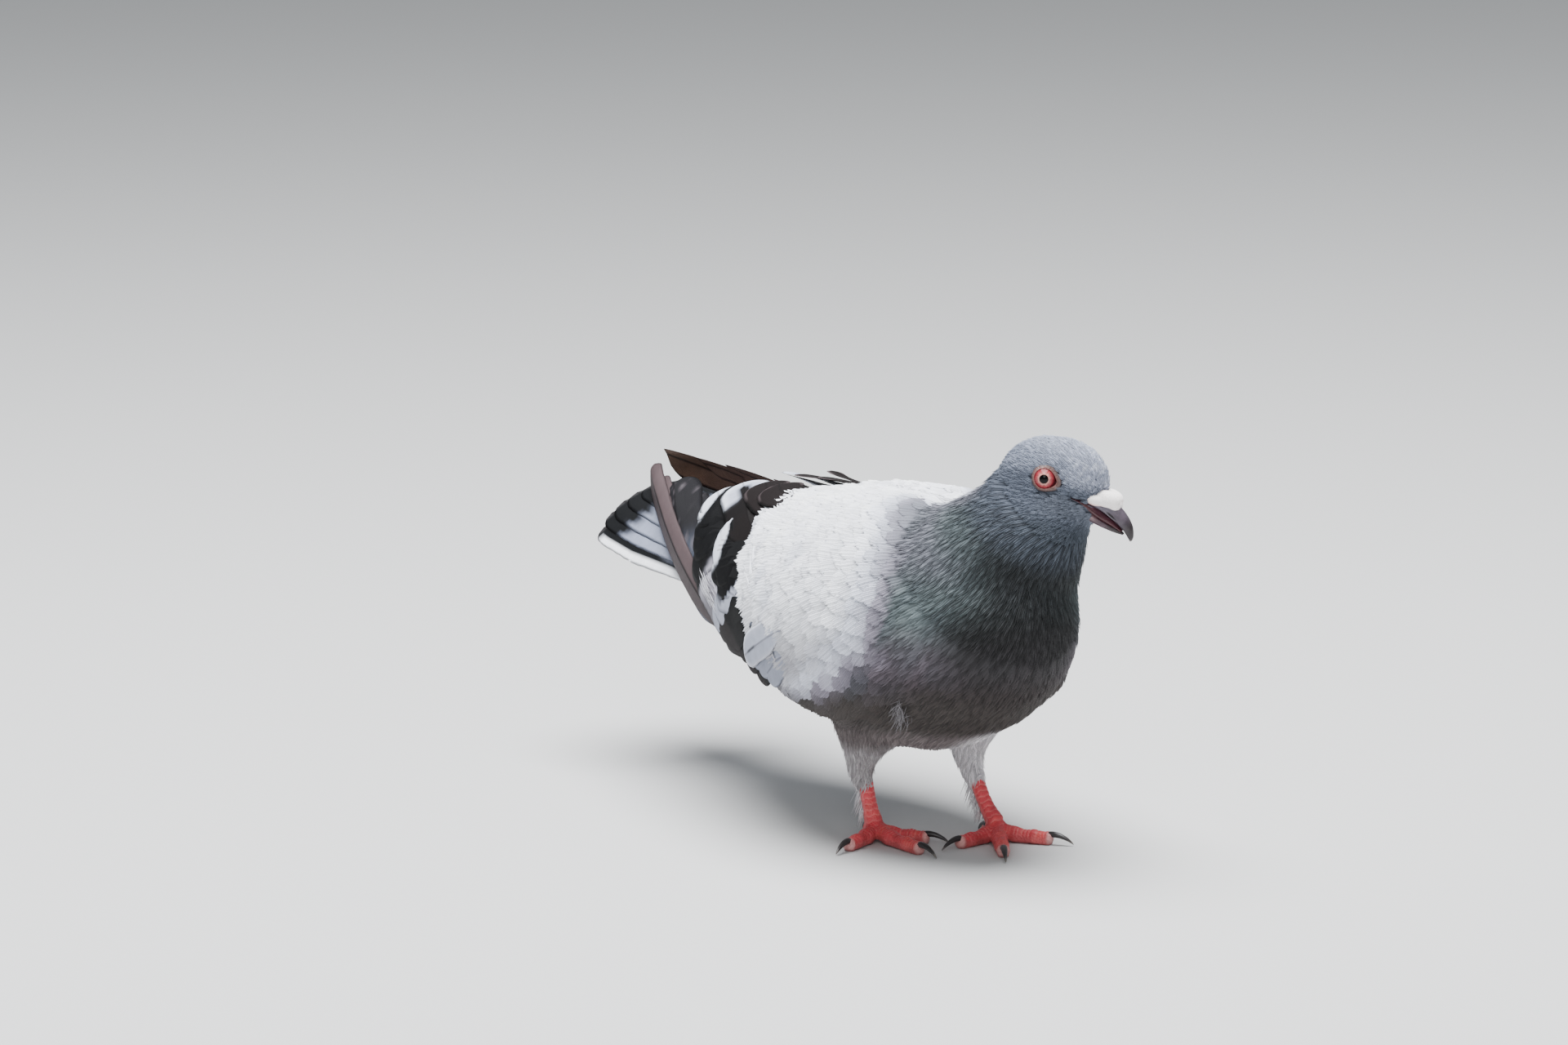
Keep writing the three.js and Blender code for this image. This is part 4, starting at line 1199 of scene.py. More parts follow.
def wing_quills(far):
    """One wing's long feathers and the rows that carry the bars. The far wing's stack is narrow and brown."""
    long_feathers, bars = Plumes(), Plumes()
    outer_paint = paint_far_primary if far else paint_primary
    inner_paint = paint_far_primary if far else paint_inner
    raised = 1.5 if far else 0.0
    breadth = 1.4 if far else 0.0
    wing_vane(
        long_feathers,
        [(-70, 2), (-110, 4 + raised), (-150, 6 + raised), (-172, 6 + raised), (-182, 4 + raised)],
        5 + breadth, 5, [-2, -1.5, -1.4, -1.3], outer_paint, rows=40, seed=21,
    )
    wing_vane(
        long_feathers,
        [
            (-60, -3), (-90, -0.6), (-126, 2 + raised), (-160, 1.8 + raised), (-186, 0.2 + raised),
            (-199, -0.6 + raised * 0.5),
        ],
        6.2 + breadth, 7.6 - breadth, [-1.4, -0.9, -0.7, -0.6], outer_paint, rows=44, seed=22, blunt=1.25,
    )
    if far:
        wing_vane(
            bars, [(-80, 49), (-87, 50), (-93, 51), (-98, 50.5)],
            2.7, 2.7, [0.2, 0.8, 1.8, 3.4], paint_dark_tertial, rows=16, seed=77, blunt=0.9,
        )
    wing_vane(
        long_feathers, [(-66, 0), (-100, 4), (-135, 8.5), (-158, 11.5), (-169, 12)],
        12, 8 if far else 14.5, [-1.9, -1.8, -1.7, -1.5], inner_paint, rows=48, seed=30, blunt=1.9, tilt=0.25,
    )
    wing_vane(
        long_feathers, [(-66, 4), (-95, 9), (-125, 15), (-146, 20)],
        9, 5 if far else 9.5, [-2.2, -2.1, -2.1, -2.0], inner_paint, rows=40, seed=31, blunt=1.5, tilt=0.2,
    )
    row_of_vanes(
        bars, SECONDARY_TIPS, 0.03, 0.80, 20, 46, 9.5, [-2.2, -1.9, -1.0, -0.35, -0.25], paint_secondary, 50,
        rows=34, blunt=0.8, fray=0.15,
    )
    for first, last, count in ((0.02, 0.11, 3), (0.40, 0.80, 13)):
        row_of_vanes(
            bars, COVERT_TIPS, first, last, count, 30, 7.6, [-2.0, -1.4, -0.4, 0.15], paint_greater, 80,
            rows=26, blunt=0.8, fray=0.15,
        )
    wing_vane(
        bars, [(-18, 1), (-29, -2), (-39, -5), (-47, -8)],
        6.5, 7.2, [-1.0, 0.1, 0.5, 0.5], paint_pale_covert, seed=60, blunt=1.1,
    )
    for number, (tip, root, half, paint) in enumerate((
        ((-122, 41), (-62, 33), 10.5, paint_tertial),
        ((-110, 49), (-56, 45), 9.5, paint_dark_tertial),
        ((-97, 53), (-54, 52), 9.5, paint_dark_tertial),
    )):
        path = [
            root, ((root[0] * 2 + tip[0]) / 3, root[1] + 3), ((root[0] + 2 * tip[0]) / 3, tip[1] - 1), tip,
        ]
        wing_vane(
            bars, path, half, half, [-2.0, -0.6, 0.2, 0.7 + 0.1 * number], paint,
            rows=30, seed=110 + number, blunt=0.9, tilt=0.4,
        )
    return long_feathers, bars


for side_name, move in (("right", None), ("left", crossed_wing)):
    long_feathers, bars = wing_quills(side_name == "left")
    long_feathers.piece(
        f"wing_{side_name}_primary_quills", "flight_feathers", f"wing_{side_name}_primaries", move,
    )
    bars.piece(f"wing_{side_name}_bar_quills", "bar_feathers", f"wing_{side_name}_secondaries", move)


# ---------------------------------------------------------------- the tail
# Twelve stiff vanes in a half-closed fan, the middle pair on top. Each is blue-grey with a broad black band
# near its end; the outermost has a white outer web.
TAIL = {
    "feathers": 12, "root": (-96, 0, 81.5), "length": 104, "rise": 15.5, "half_root": 23.5,
    "half_angle": 5.6, "drop": 15.5, "corner_loss": 9, "step": 0.2, "inner_web": 8.6, "half_thick": 0.17,
    "rachis": 0.22, "sunk": 0.55,
}
OUTER_WEB = 7.2
OUTERMOST_WEBS = {0: 5.2, 1: 5.6}  # the outer webs of the two outermost feathers on each side
BAND_EDGE = 0.82


def on_tail(share, far, lift):
    """Where the fan lies: share is -1 to 1 across it, and far is the distance from its root."""
    length = TAIL["length"] - TAIL["corner_loss"] * np.abs(share) ** 6
    reach = far / length
    half = TAIL["half_root"] + far * math.tan(math.radians(TAIL["half_angle"]))
    fall = TAIL["drop"] * np.minimum(0.45 + reach * 0.7, 1) * share**2
    x, y, z = TAIL["root"]
    return np.stack([x - far, y + share * half, z + TAIL["rise"] * reach - fall - TAIL["sunk"] + lift], -1)


def paint_tail(number, across, share):
    outward = across if number > 5 else -across
    edge = BAND_EDGE + 0.02 * np.sin(across * 1.1 + number)
    layers = [
        ((158, 163, 180), ease(share, 0.78, 0.5) * 0.5),
        ((15, 16, 18), ease(share, edge - 0.02, edge + 0.05)),
    ]
    if number in (0, 11):
        wedge = ease(outward, 3.0, 2.2) * ease(outward, 2.4 - 4 * share, 3.2 - 4 * share)
        strip = ease(outward, 2.2, 3.0) * ease(share, 0.1, 0.2) * ease(share, 0.97, 0.95)
        layers.append(((15, 16, 18), wedge * ease(share, 0.3, 0.5)))
        layers.append(((248, 250, 255), strip))
    worn = ((70, 68, 70), ease(share, 0.975, 0.99) * 0.6)
    return painted((136, 142, 160), across.shape, *layers, worn)


rectrices = Plumes()
count = TAIL["feathers"]
for number in sorted(range(count), key=lambda n: -abs(n - 5.5)):
    centre = (2 * (number + 0.5)) / count - 1
    layer = abs(number - 5.5) - 0.5
    outer_web = OUTERMOST_WEBS.get(min(number, count - 1 - number), OUTER_WEB)
    low, high = (outer_web, TAIL["inner_web"]) if number < 6 else (TAIL["inner_web"], outer_web)
    length = TAIL["length"] - TAIL["corner_loss"] * abs(centre) ** 6 - 0.6
    along, across, inset, share = vane_grid(length, low, high, 40, 1.15, 0.25, 140 + number, base=0.7)
    wide = TAIL["half_root"] + along * math.tan(math.radians(TAIL["half_angle"]))
    sheet_share = centre + across / wide
    body = TAIL["half_thick"] * np.sqrt(np.clip(inset / 5.5, 0, 1))
    rib = TAIL["rachis"] * np.exp(-((across / 0.55) ** 2)) * (1 - share[:, None]) ** 0.4
    inward = across if number < 6 else -across
    height = -layer * TAIL["step"] - 0.012 * inward
    top = on_tail(sheet_share, along, height + body + rib)
    under = on_tail(sheet_share, along, height - body - 0.6 * rib)
    colour = paint_tail(number, across, share[:, None] + 0 * across)
    rectrices.add(top, under, along, across, colour)
rectrices.piece("tail_feathers", "tail_feathers", "tail")


# ---------------------------------------------------------------- the bill
# Two thin horn sheaths over bone, held a little apart. The upper one hooks down over the lower and has a
# slit nostril on each side; dark wet skin lines the mouth and folds at its corners.

# Each station is its distance forward, its height, and its half width and half depth.
BILL_UPPER = [
    [12, -3.4, 4.6, 2.6], [15, -3.2, 4.3, 2.9], [19, -3.6, 3.7, 2.9], [24, -5.1, 3.0, 2.75],
    [28, -7.4, 2.1, 2.2], [30.2, -9.8, 1.2, 1.35], [31, -11.3, 0.55, 0.5],
]
BILL_LOWER = [
    [10.5, -7.7, 4.4, 1.7], [14, -8.4, 3.9, 1.7], [18, -9.1, 3.2, 1.5], [22, -9.6, 2.4, 1.2],
    [25.5, -9.9, 1.5, 0.85], [27.8, -10.1, 0.7, 0.4],
]
MOUTH = [
    [9.2, -3.2, 9.8, 0.25], [10.6, -3.35, 9.3, 0.5], [12.5, -3.8, 8.2, 0.8], [14.5, -4.8, 6.5, 1.2],
    [17.1, -6.3, 4.6, 1.5], [20, -7.2, 3.4, 1.3], [24, -8.2, 2.3, 1.0], [27, -9.3, 1.2, 0.5],
]


def from_head(fore, right, up):
    """The places at these distances forward, right and up from the middle of the head."""
    fore, right, up = (np.asarray(v, float)[..., None] for v in (fore, right, up))
    return HEAD_CENTRE + fore * FORWARD + right * RIGHT + up * UP


def outward(places, faces):
    """Turns the faces so that a closed surface faces out."""
    volume = 0.0
    for face in faces:
        a = places[face[0]]
        for b, c in zip(face[1:-1], face[2:]):
            volume += np.dot(a, np.cross(places[b], places[c]))
    return faces if volume > 0 else [face[::-1] for face in faces]


def loft(rings, first, last):
    """A closed surface through rings of places, with a pole at each end."""
    rings = np.asarray(rings)
    count, sides = rings.shape[:2]
    places = np.vstack([rings.reshape(-1, 3), [first], [last]])
    faces = []
    for i in range(count - 1):
        for j in range(sides):
            k = (j + 1) % sides
            faces.append([i * sides + j, i * sides + k, (i + 1) * sides + k, (i + 1) * sides + j])
    for j in range(sides):
        k = (j + 1) % sides
        faces.append([count * sides, k, j])
        faces.append([count * sides + 1, (count - 1) * sides + j, (count - 1) * sides + k])
    return places, outward(places, faces)


def sheath(stations, count, sides, square_top, square_under, under):
    """A bill-shaped loft. The squareness of its top and underside runs from 2, round, upwards."""
    line = curve_through(stations, count)
    way = np.gradient(line[:, :2], axis=0)
    way /= np.linalg.norm(way, axis=1, keepdims=True)
    turn = np.linspace(0, 2 * math.pi, sides, endpoint=False)
    above = np.sin(turn) > 0
    power = np.where(above, 2 / square_top, 2 / square_under)
    wide = np.sign(np.cos(turn)) * np.abs(np.cos(turn)) ** power
    tall = np.sign(np.sin(turn)) * np.abs(np.sin(turn)) ** power * np.where(above, 1, under)
    fore = line[:, 0, None] - way[:, 1, None] * line[:, 3, None] * tall
    up = line[:, 1, None] + way[:, 0, None] * line[:, 3, None] * tall
    right = line[:, 2, None] * wide
    back = from_head(line[0, 0] - 0.4, 0, line[0, 1])
    tip = from_head(line[-1, 0] + way[-1, 0] * 0.25, 0, line[-1, 1] + way[-1, 1] * 0.25)
    return loft(from_head(fore, right, up), back, tip)


def painted_piece(name, places, faces, colour, material, slot, *replaced):
    mesh = mesh_of(name, in_frame(places), faces)
    write_plumage(mesh, colour)
    mesh.materials.append(material)
    finished(name, mesh, slot, *replaced)


horn, nodes, links, shader = speckled(
    "bill horn", 0.36, 0.45, 420, 4, (0.3, (0.62, 0.6, 0.62)), (0.55, (1, 1, 1)), (0.8, (1.25, 1.22, 1.25)),
    evenness=0.65,
)
bumped(nodes, links, shader, noise(nodes, links, 1500, 3, place_of(nodes)), 0.00012)

places, faces = sheath(BILL_UPPER, 64, 48, 2.0, 2.8, 0.6)
fore, right, up = in_head(places)
slit_along = (fore - 22.4) / 1.9
slit_over = (up + 5.15 + 0.42 * (fore - 22.4)) / 0.42
on_side = np.abs(right) > 1.2
outwards = np.sign(right)[:, None] * RIGHT
slit = np.exp(-(slit_along**2 + slit_over**2) * 1.6) * on_side
rim = np.exp(-(slit_along**2 * 0.7 + (slit_over + 1.7) ** 2)) * on_side
places = places - 0.75 * slit[:, None] * outwards
places = places + 0.16 * rim[:, None] * outwards
colour = painted(
    (70, 62, 71), fore.shape,
    ((104, 99, 112), ease(fore, 24.5, 20) * ease(up, -6.0, -3.6) * 0.7),
    ((92, 54, 64), ease(up + 0.36 * (fore - 16), -5.0, -6.1) * ease(fore, 27, 22)),
    ((42, 36, 38), ease(fore, 26.5, 30)),
    ((132, 128, 128), ease(up, -10.6, -11.6) * 0.8),
    ((150, 144, 152), rim * 0.6),
    # the nostril slit, painted near black as painted shade inside its opening
    ((16, 12, 14), np.clip(slit * 1.6, 0, 1)),
)
painted_piece("bill_upper_sheath", places, faces, colour, horn, "bill_horn", "bill_upper")

places, faces = sheath(BILL_LOWER, 48, 40, 3.0, 2.0, 1.0)
fore, right, up = in_head(places)
colour = painted(
    (80, 62, 70), fore.shape,
    ((168, 136, 138), ease(fore, 20, 15) * ease(up, -9.4, -8.2)),
    ((44, 36, 38), ease(fore, 20, 25)),
)
painted_piece("bill_lower_sheath", places, faces, colour, horn, "bill_horn", "bill_lower")

wet, *_ = speckled(
    "mouth skin", 0.3, 0.5, 700, 3, (0.3, (0.7, 0.66, 0.66)), (0.7, (1.1, 1.05, 1.05)), bump=0.00025,
)
places, faces = sheath(MOUTH, 40, 40, 2.0, 2.0, 1.0)
fore, right, up = in_head(places)
over = up - np.interp(fore, [r[0] for r in MOUTH], [r[1] for r in MOUTH])
colour = painted(
    (62, 24, 32), fore.shape,
    ((176, 142, 140), ease(over, -0.1, -0.7) * ease(fore, 17, 13)),
    ((120, 84, 96), ease(over, 0.5, 1.0) * 0.5),
)
painted_piece("mouth", places, faces, colour, wet, "bill_horn")


# ---------------------------------------------------------------- the cere
# A swollen pad of soft powdery white skin in two lobes over the base of the upper bill.
CERE_GRAIN = 0.00026
LOBES = (  # forward, sideways and up from the head's middle; half sizes; tilt in degrees; spread
    ((18.9, 1.95, -0.8), (4.9, 2.75, 3.0), 8, 0.10),
    ((16.2, 4.1, -1.9), (3.5, 2.1, 1.9), 4, 0.62),
    ((21.4, 1.3, -1.7), (2.9, 2.2, 2.2), -18, 0.1),
)


def egg(centre, size, turn, rings=24, sides=36):
    polar = np.linspace(0, math.pi, rings + 1)[1:-1][:, None]
    round_it = np.linspace(0, 2 * math.pi, sides, endpoint=False)
    flat = np.stack([
        np.cos(polar) + 0 * round_it, np.sin(polar) * np.cos(round_it), np.sin(polar) * np.sin(round_it),
    ], -1)
    return loft(centre + (flat * size) @ turn, centre + size[0] * turn[0], centre - size[0] * turn[0])


lobes = bmesh.new()
for side in (-1, 1):
    for (fore, across, up), size, tilt, spread in LOBES:
        tilt = math.radians(tilt)
        ahead = unit(FORWARD * math.cos(tilt) + UP * math.sin(tilt) - spread * side * RIGHT)
        over = unit(UP - ahead * (UP @ ahead))
        turn = np.stack([ahead, np.cross(over, ahead), over])
        places, faces = egg(from_head(fore, side * across, up), np.array(size), turn)
        lobes.from_mesh(mesh_of("lobe", in_frame(places), faces))
pad = bpy.data.meshes.new("pad")
lobes.to_mesh(pad)
lobes.free()
pad = with_modifiers(
    pad, ("REMESH", {"mode": "VOXEL", "voxel_size": CERE_GRAIN, "use_smooth_shade": True}),
    ("SMOOTH", {"factor": 0.5, "iterations": 8}),
)
pad.name = "cere"
fore, right, up = in_head(in_bird(mesh_places(pad)))
write_plumage(pad, painted(
    (255, 249, 247), fore.shape,
    ((226, 178, 172), ease(up + 0.1 * (fore - 18), -2.2, -4.0) * 0.8),
    ((206, 172, 168), ease(fore, 15.2, 13.6) * 0.6),
))
powder, *_ = speckled(
    "cere powder", 0.8, 0.3, 1300, 4, (0.2, (0.9, 0.85, 0.84)), (0.5, (1, 1, 1)), evenness=0.7, bump=0.0003,
)
pad.materials.clear()
pad.materials.append(powder)
finished("cere_pad", pad, "cere_skin", "cere")


# ---------------------------------------------------------------- the eyes
# A round black pupil in an iris that is pale next to it and crimson outside, under a clear wet cornea. A ring
# of bare folded skin surrounds each eye, drawn out to a corner towards the bill.
EYE_RADIUS = 4.5
CORNEA = 0.45
LID_PROFILE = (  # share of the way from the inner to the outer edge, lift, how strongly folded, paint share
    (0, 0.02, 0, 0), (0.06, 0.30, 0, 0.06), (0.2, 0.42, 0.3, 0.2), (0.36, 0.26, 1, 0.36), (0.5, 0.36, 1, 0.5),
    (0.66, 0.22, 1, 0.66), (0.82, 0.3, 1, 0.82), (1.0, 0.05, 0.5, 1), (1.14, -0.6, 0, 1.1), (0.9, -1.2, 0, 1),
    (0.5, -0.9, 0, 0.5), (0.1, -0.5, 0, 0),
)
skin_tree = BVHTree.FromPolygons(
    [tuple(v) for v in skin_places_in], [tuple(p.vertices) for p in skin_mesh.polygons]
)
eye_gloss, *_ = speckled(
    "eye", 0.14, 0.16, 1500, 4, (0.3, (0.72, 0.62, 0.62)), (0.65, (1.12, 1.08, 1.05)), evenness=0.7,
)
lid_skin, *_ = speckled(
    "lid skin", 0.5, 0.4, 1100, 3, (0.3, (0.72, 0.7, 0.7)), (0.7, (1.12, 1.1, 1.1)), bump=0.0003,
)

for side_name, side in (("right", 1), ("left", -1)):
    axis = unit(0.955 * side * RIGHT + 0.24 * FORWARD + 0.12 * UP)
    ahead = unit(FORWARD - axis * (FORWARD @ axis))
    over = unit(UP - axis * (UP @ axis) - ahead * (UP @ ahead))
    centre = from_head(-1.4, side * 9.6, 0.0)
    bow = np.r_[np.linspace(0.02, 1.05, 44), np.linspace(1.1, math.pi - 0.1, 16)]
    round_it = np.linspace(0, 2 * math.pi, 96, endpoint=False)
    spokes = np.cos(round_it)[:, None] * ahead + np.sin(round_it)[:, None] * over
    across = EYE_RADIUS * np.sin(bow)[:, None]
    bulge = CORNEA * np.clip(1 - (across / 3.9) ** 2, 0, 1) ** 2 * (bow[:, None] < 1.5)
    deep = EYE_RADIUS * np.cos(bow)[:, None] + bulge
    rings = centre + deep[..., None] * axis + across[..., None] * spokes[None]
    places, faces = loft(rings, centre + (EYE_RADIUS + CORNEA) * axis, centre - EYE_RADIUS * axis)
    away = places - centre
    from_axis = np.linalg.norm(away - (away @ axis)[:, None] * axis, axis=1)
    turned = np.arctan2(away @ over, away @ ahead)
    wave = 0.10 * np.sin(turned * 9) + 0.07 * np.sin(turned * 23 + 1)
    colour = painted(
        (190, 140, 132), wave.shape,
        ((160, 82, 84), ease(from_axis + wave, 1.85, 2.25)),
        ((130, 44, 52), ease(from_axis + wave, 2.3, 3.0)),
        ((70, 18, 26), ease(from_axis, 3.0, 3.5)),
        ((4, 3, 4), ease(from_axis, 1.62, 1.5)),
    )
    painted_piece(f"eye_{side_name}_ball", places, faces, colour, eye_gloss, "eye", f"eye_{side_name}")

    corner = np.clip(np.cos(round_it + 0.05), 0, 1)
    low = 3.45 + 0.7 * corner**8 - 0.1 * np.abs(np.sin(round_it))
    high = 4.55 + 1.45 * corner**5 + 0.35 * np.clip(np.sin(round_it), 0, 1)
    rise = np.sqrt(EYE_RADIUS**2 - low**2)
    level = []
    for place in centre + high[:, None] * spokes:
        hit = skin_tree.ray_cast(Vector(place + 9 * axis), Vector(-axis))
        level.append(9 - hit[3] if hit[3] is not None else 3.0)
    level = np.array(level) + 0.55
    folds = 0.07 * np.sin(round_it * 31) + 0.05 * np.sin(round_it * 17 + 1)
    rings = []
    for share, lift, fold, _ in LID_PROFILE:
        reach = low + (high - low) * share
        height = rise + (level - rise) * min(share, 1) + lift + fold * folds
        rings.append(centre + height[:, None] * axis + reach[:, None] * spokes)
    count, sides = len(rings), len(round_it)
    places = np.vstack(rings)
    faces = []
    for i in range(count):
        this, following = i * sides, (i + 1) % count * sides
        for j in range(sides):
            k = (j + 1) % sides
            faces.append([this + j, this + k, following + k, following + j])
    faces = outward(places - centre, faces)
    share = np.repeat([row[3] for row in LID_PROFILE], sides)
    colour = painted(
        (146, 98, 92), share.shape,
        ((92, 72, 70), ease(share, 0.12, 0.35)),
        ((112, 92, 86), np.exp(-(((share - 0.55) / 0.12) ** 2))),
        ((62, 60, 64), ease(share, 0.78, 1.0)),
    )
    painted_piece(f"eye_{side_name}_lids", places, faces, colour, lid_skin, "eye")


# ---------------------------------------------------------------- the bare legs and feet
# Red scaly skin over the shank and four toes: broad scutes in front and on top of the toes, small grains
# elsewhere, swellings at the joints and soft pale pads at the ends.
FLOOR_LEVEL = -1.7
LEGS = {
    "right": {
        "ankle": (-25.2, -14.6, 20.4), "foot": (-19.7, -13.1),
        "toes": {"inner": 46, "middle": 6, "outer": -58, "hind": 166},
    },
    "left": {
        "ankle": (-13, 21.8, 20.4), "foot": (-0.1, 24),
        "toes": {"inner": -75, "middle": -25, "outer": 43, "hind": 172},
    },
}
TOES = {  # the toe's length, its claw's length, and the number of its claw
    "inner": (19, 7.5, 2), "middle": (28, 8.5, 3), "outer": (20, 7.5, 4), "hind": (11, 6.5, 1),
}
SHANK_SCALE = 2.0
TOE_SCALE = 1.35

scaly, nodes, links, shader = speckled(
    "foot skin", 0.42, 0.4, 180, 3, (0.3, (0.8, 0.74, 0.74)), (0.7, (1.12, 1.1, 1.08)),
)
cells = nodes.new("ShaderNodeTexVoronoi")
cells.inputs["Scale"].default_value = 1400
links.new(place_of(nodes), cells.inputs["Vector"])
bumped(nodes, links, shader, cells.outputs["Distance"], 0.00022)
claw_horn, *_ = speckled(
    "claw horn", 0.32, 0.5, 800, 3, (0.3, (0.7, 0.7, 0.7)), (0.7, (1.2, 1.18, 1.15)),
)


def along_ground(degrees):
    return np.array([math.cos(math.radians(degrees)), math.sin(math.radians(degrees)), 0])


def bulge_at(share, at, spread, height):
    return height * np.exp(-(((share - at) / spread) ** 2))


def claw(leg, heading, length, reach):
    """A claw that curves down to the floor from the end of a toe, as its places, faces and colours."""
    way = along_ground(heading)
    beside = np.array([-way[1], way[0], 0])
    line = curve_through([
        [length - 2.6, 3.0, 1.15, 1.05], [length - 0.6, 3.5, 1.3, 1.25],
        [length + reach * 0.3, 3.3, 1.1, 1.05], [length + reach * 0.66, 2.35, 0.72, 0.72],
        [length + reach * 0.92, 1.15, 0.34, 0.34], [length + reach, 0.6, 0.12, 0.12],
    ], 26)
    slope = unit(np.gradient(line[:, :2], axis=0))
    round_it = np.linspace(0, 2 * math.pi, 18, endpoint=False)
    under = np.where(np.sin(round_it) < 0, 0.72, 1.0)
    walk = line[:, 0, None] - slope[:, 1, None] * line[:, 3, None] * np.sin(round_it) * under
    high = line[:, 1, None] + slope[:, 0, None] * line[:, 3, None] * np.sin(round_it) * under
    wide = line[:, 2, None] * np.cos(round_it)
    base = np.array([*leg["foot"], FLOOR_LEVEL])
    rings = base + walk[..., None] * way + wide[..., None] * beside + high[..., None] * np.array([0, 0, 1])
    ends = [base + line[k, 0] * way + np.array([0, 0, line[k, 1]]) for k in (0, -1)]
    ends[1] = ends[1] + 0.15 * way - np.array([0, 0, 0.08])
    places, faces = loft(rings, *ends)
    over = (places - base) @ way
    colour = painted(
        (46, 42, 42), over.shape,
        ((120, 112, 106), ease(places[:, 2] - FLOOR_LEVEL, 2.4, 1.2) * 0.6),
        ((26, 23, 24), ease(over, length + reach * 0.5, length) * 0.6),
    )
    return places, faces, colour


for side_name, leg in LEGS.items():
    bare = (f"leg_{side_name}_shank", f"leg_{side_name}_foot")
    merged = outer_shell(with_modifiers(
        merged_nodes(bare, welded=False),
        ("DISPLACE", {"strength": 0.0002, "mid_level": 0.0, "direction": "NORMAL"}),
        ("REMESH", {"mode": "VOXEL", "voxel_size": 0.0004, "use_smooth_shade": True}),
        ("SMOOTH", {"factor": 0.5, "iterations": 6}),
    ))
    places, normals = in_bird(mesh_places(merged)), mesh_normals(merged)
    foot = np.array([*leg["foot"], FLOOR_LEVEL + 4.2])
    near, along, reach_of, tip = (np.full(len(places), start) for start in (99.0, 0.0, 0.0, 0.0))
    for toe, heading in leg["toes"].items():
        length, way = TOES[toe][0], along_ground(heading)
        start = np.array([*leg["foot"], FLOOR_LEVEL + 2.4])
        walk = np.clip((places - start) @ way, 0, length)
        gap = np.linalg.norm(places - start - walk[:, None] * way, axis=1)
        mine = gap < near
        near = np.where(mine, gap, near)
        along = np.where(mine, walk, along)
        reach_of = np.where(mine, walk / length, reach_of)
        tip = np.where(mine, ease(length - walk, 2.6, 0.6), tip)
    ankle = np.array(leg["ankle"])
    shaft = unit(foot - ankle)
    down = (places - ankle) @ shaft
    gap = np.linalg.norm(places - ankle - down[:, None] * shaft, axis=1)
    on_shank = (places[:, 2] > FLOOR_LEVEL + 6.4) | (gap < near * 0.8)
    along = np.where(on_shank, down, along)
    scale_length = np.where(on_shank, SHANK_SCALE, TOE_SCALE)
    ahead = np.where(on_shank, normals @ np.array([0.8, -0.1, 0.3]), normals[:, 2])
    broad = ease(ahead, 0.1, 0.5)
    x, y, z = places.T
    phase = along / scale_length + 0.12 * np.sin(x * 1.3 + y * 1.7)
    plate = 1 - ease(np.abs((phase % 1) - 0.5) * 2, 0.62, 1.0)
    joint = bulge_at(reach_of, 0.34, 0.07, 0.32) + bulge_at(reach_of, 0.67, 0.06, 0.3)
    pinch = bulge_at(reach_of, 0.5, 0.09, -0.22) - bulge_at(reach_of, 0.84, 0.07, 0.25)
    grains = 0.5 + 0.5 * np.sin(x * 5.1 + 1.3 * np.sin(y * 4.3)) * np.sin(y * 5.7 + z * 6.1)
    off_floor = ease(z, FLOOR_LEVEL + 0.1, FLOOR_LEVEL + 0.9)
    swell = 0.26 * plate * broad + 0.12 * grains * (1 - broad)
    swell = (swell + np.where(on_shank, 0, joint) + np.where(on_shank, 0, pinch) - 0.22) * off_floor
    places = places + normals * swell[:, None]
    places[:, 2] = np.maximum(places[:, 2], FLOOR_LEVEL)
    merged.vertices.foreach_set("co", in_frame(places).ravel())
    merged.update()
    write_plumage(merged, painted(
        (206, 68, 76), near.shape,
        ((218, 84, 78), ease(rough_field(places, 5), 0, 0.6) * 0.6),
        ((236, 146, 142), (1 - plate) * broad * 0.5),
        ((210, 116, 118), (1 - broad) * (0.35 + 0.3 * grains)),
        ((214, 166, 162), tip * 0.8),
        # darker within about a millimetre of the floor, as painted shade where the toes rest on it
        ((150, 82, 82), ease(places[:, 2], FLOOR_LEVEL + 1.4, FLOOR_LEVEL + 0.2) * 0.7),
    ))
    merged.materials.clear()
    merged.materials.append(scaly)
    merged.name = f"leg_{side_name}_skin"
    finished(f"leg_{side_name}_skin", merged, "foot_skin", *bare)

    for toe in ("hind", "inner", "middle", "outer"):
        length, reach, number = TOES[toe]
        node = f"leg_{side_name}_claw_{number}"
        painted_piece(
            f"{node}_horn", *claw(leg, leg["toes"][toe], length, reach), claw_horn, "claw_horn", node,
        )


# ---------------------------------------------------------------- the loose wisps
# Hair-fine barbs that stand free of the coat: white fringes down the backs of the shanks, pale barbs over
# the black where the wing bars meet the coverts, and a tuft of down on the flank below the folded wing.
THIRD = 2.0944


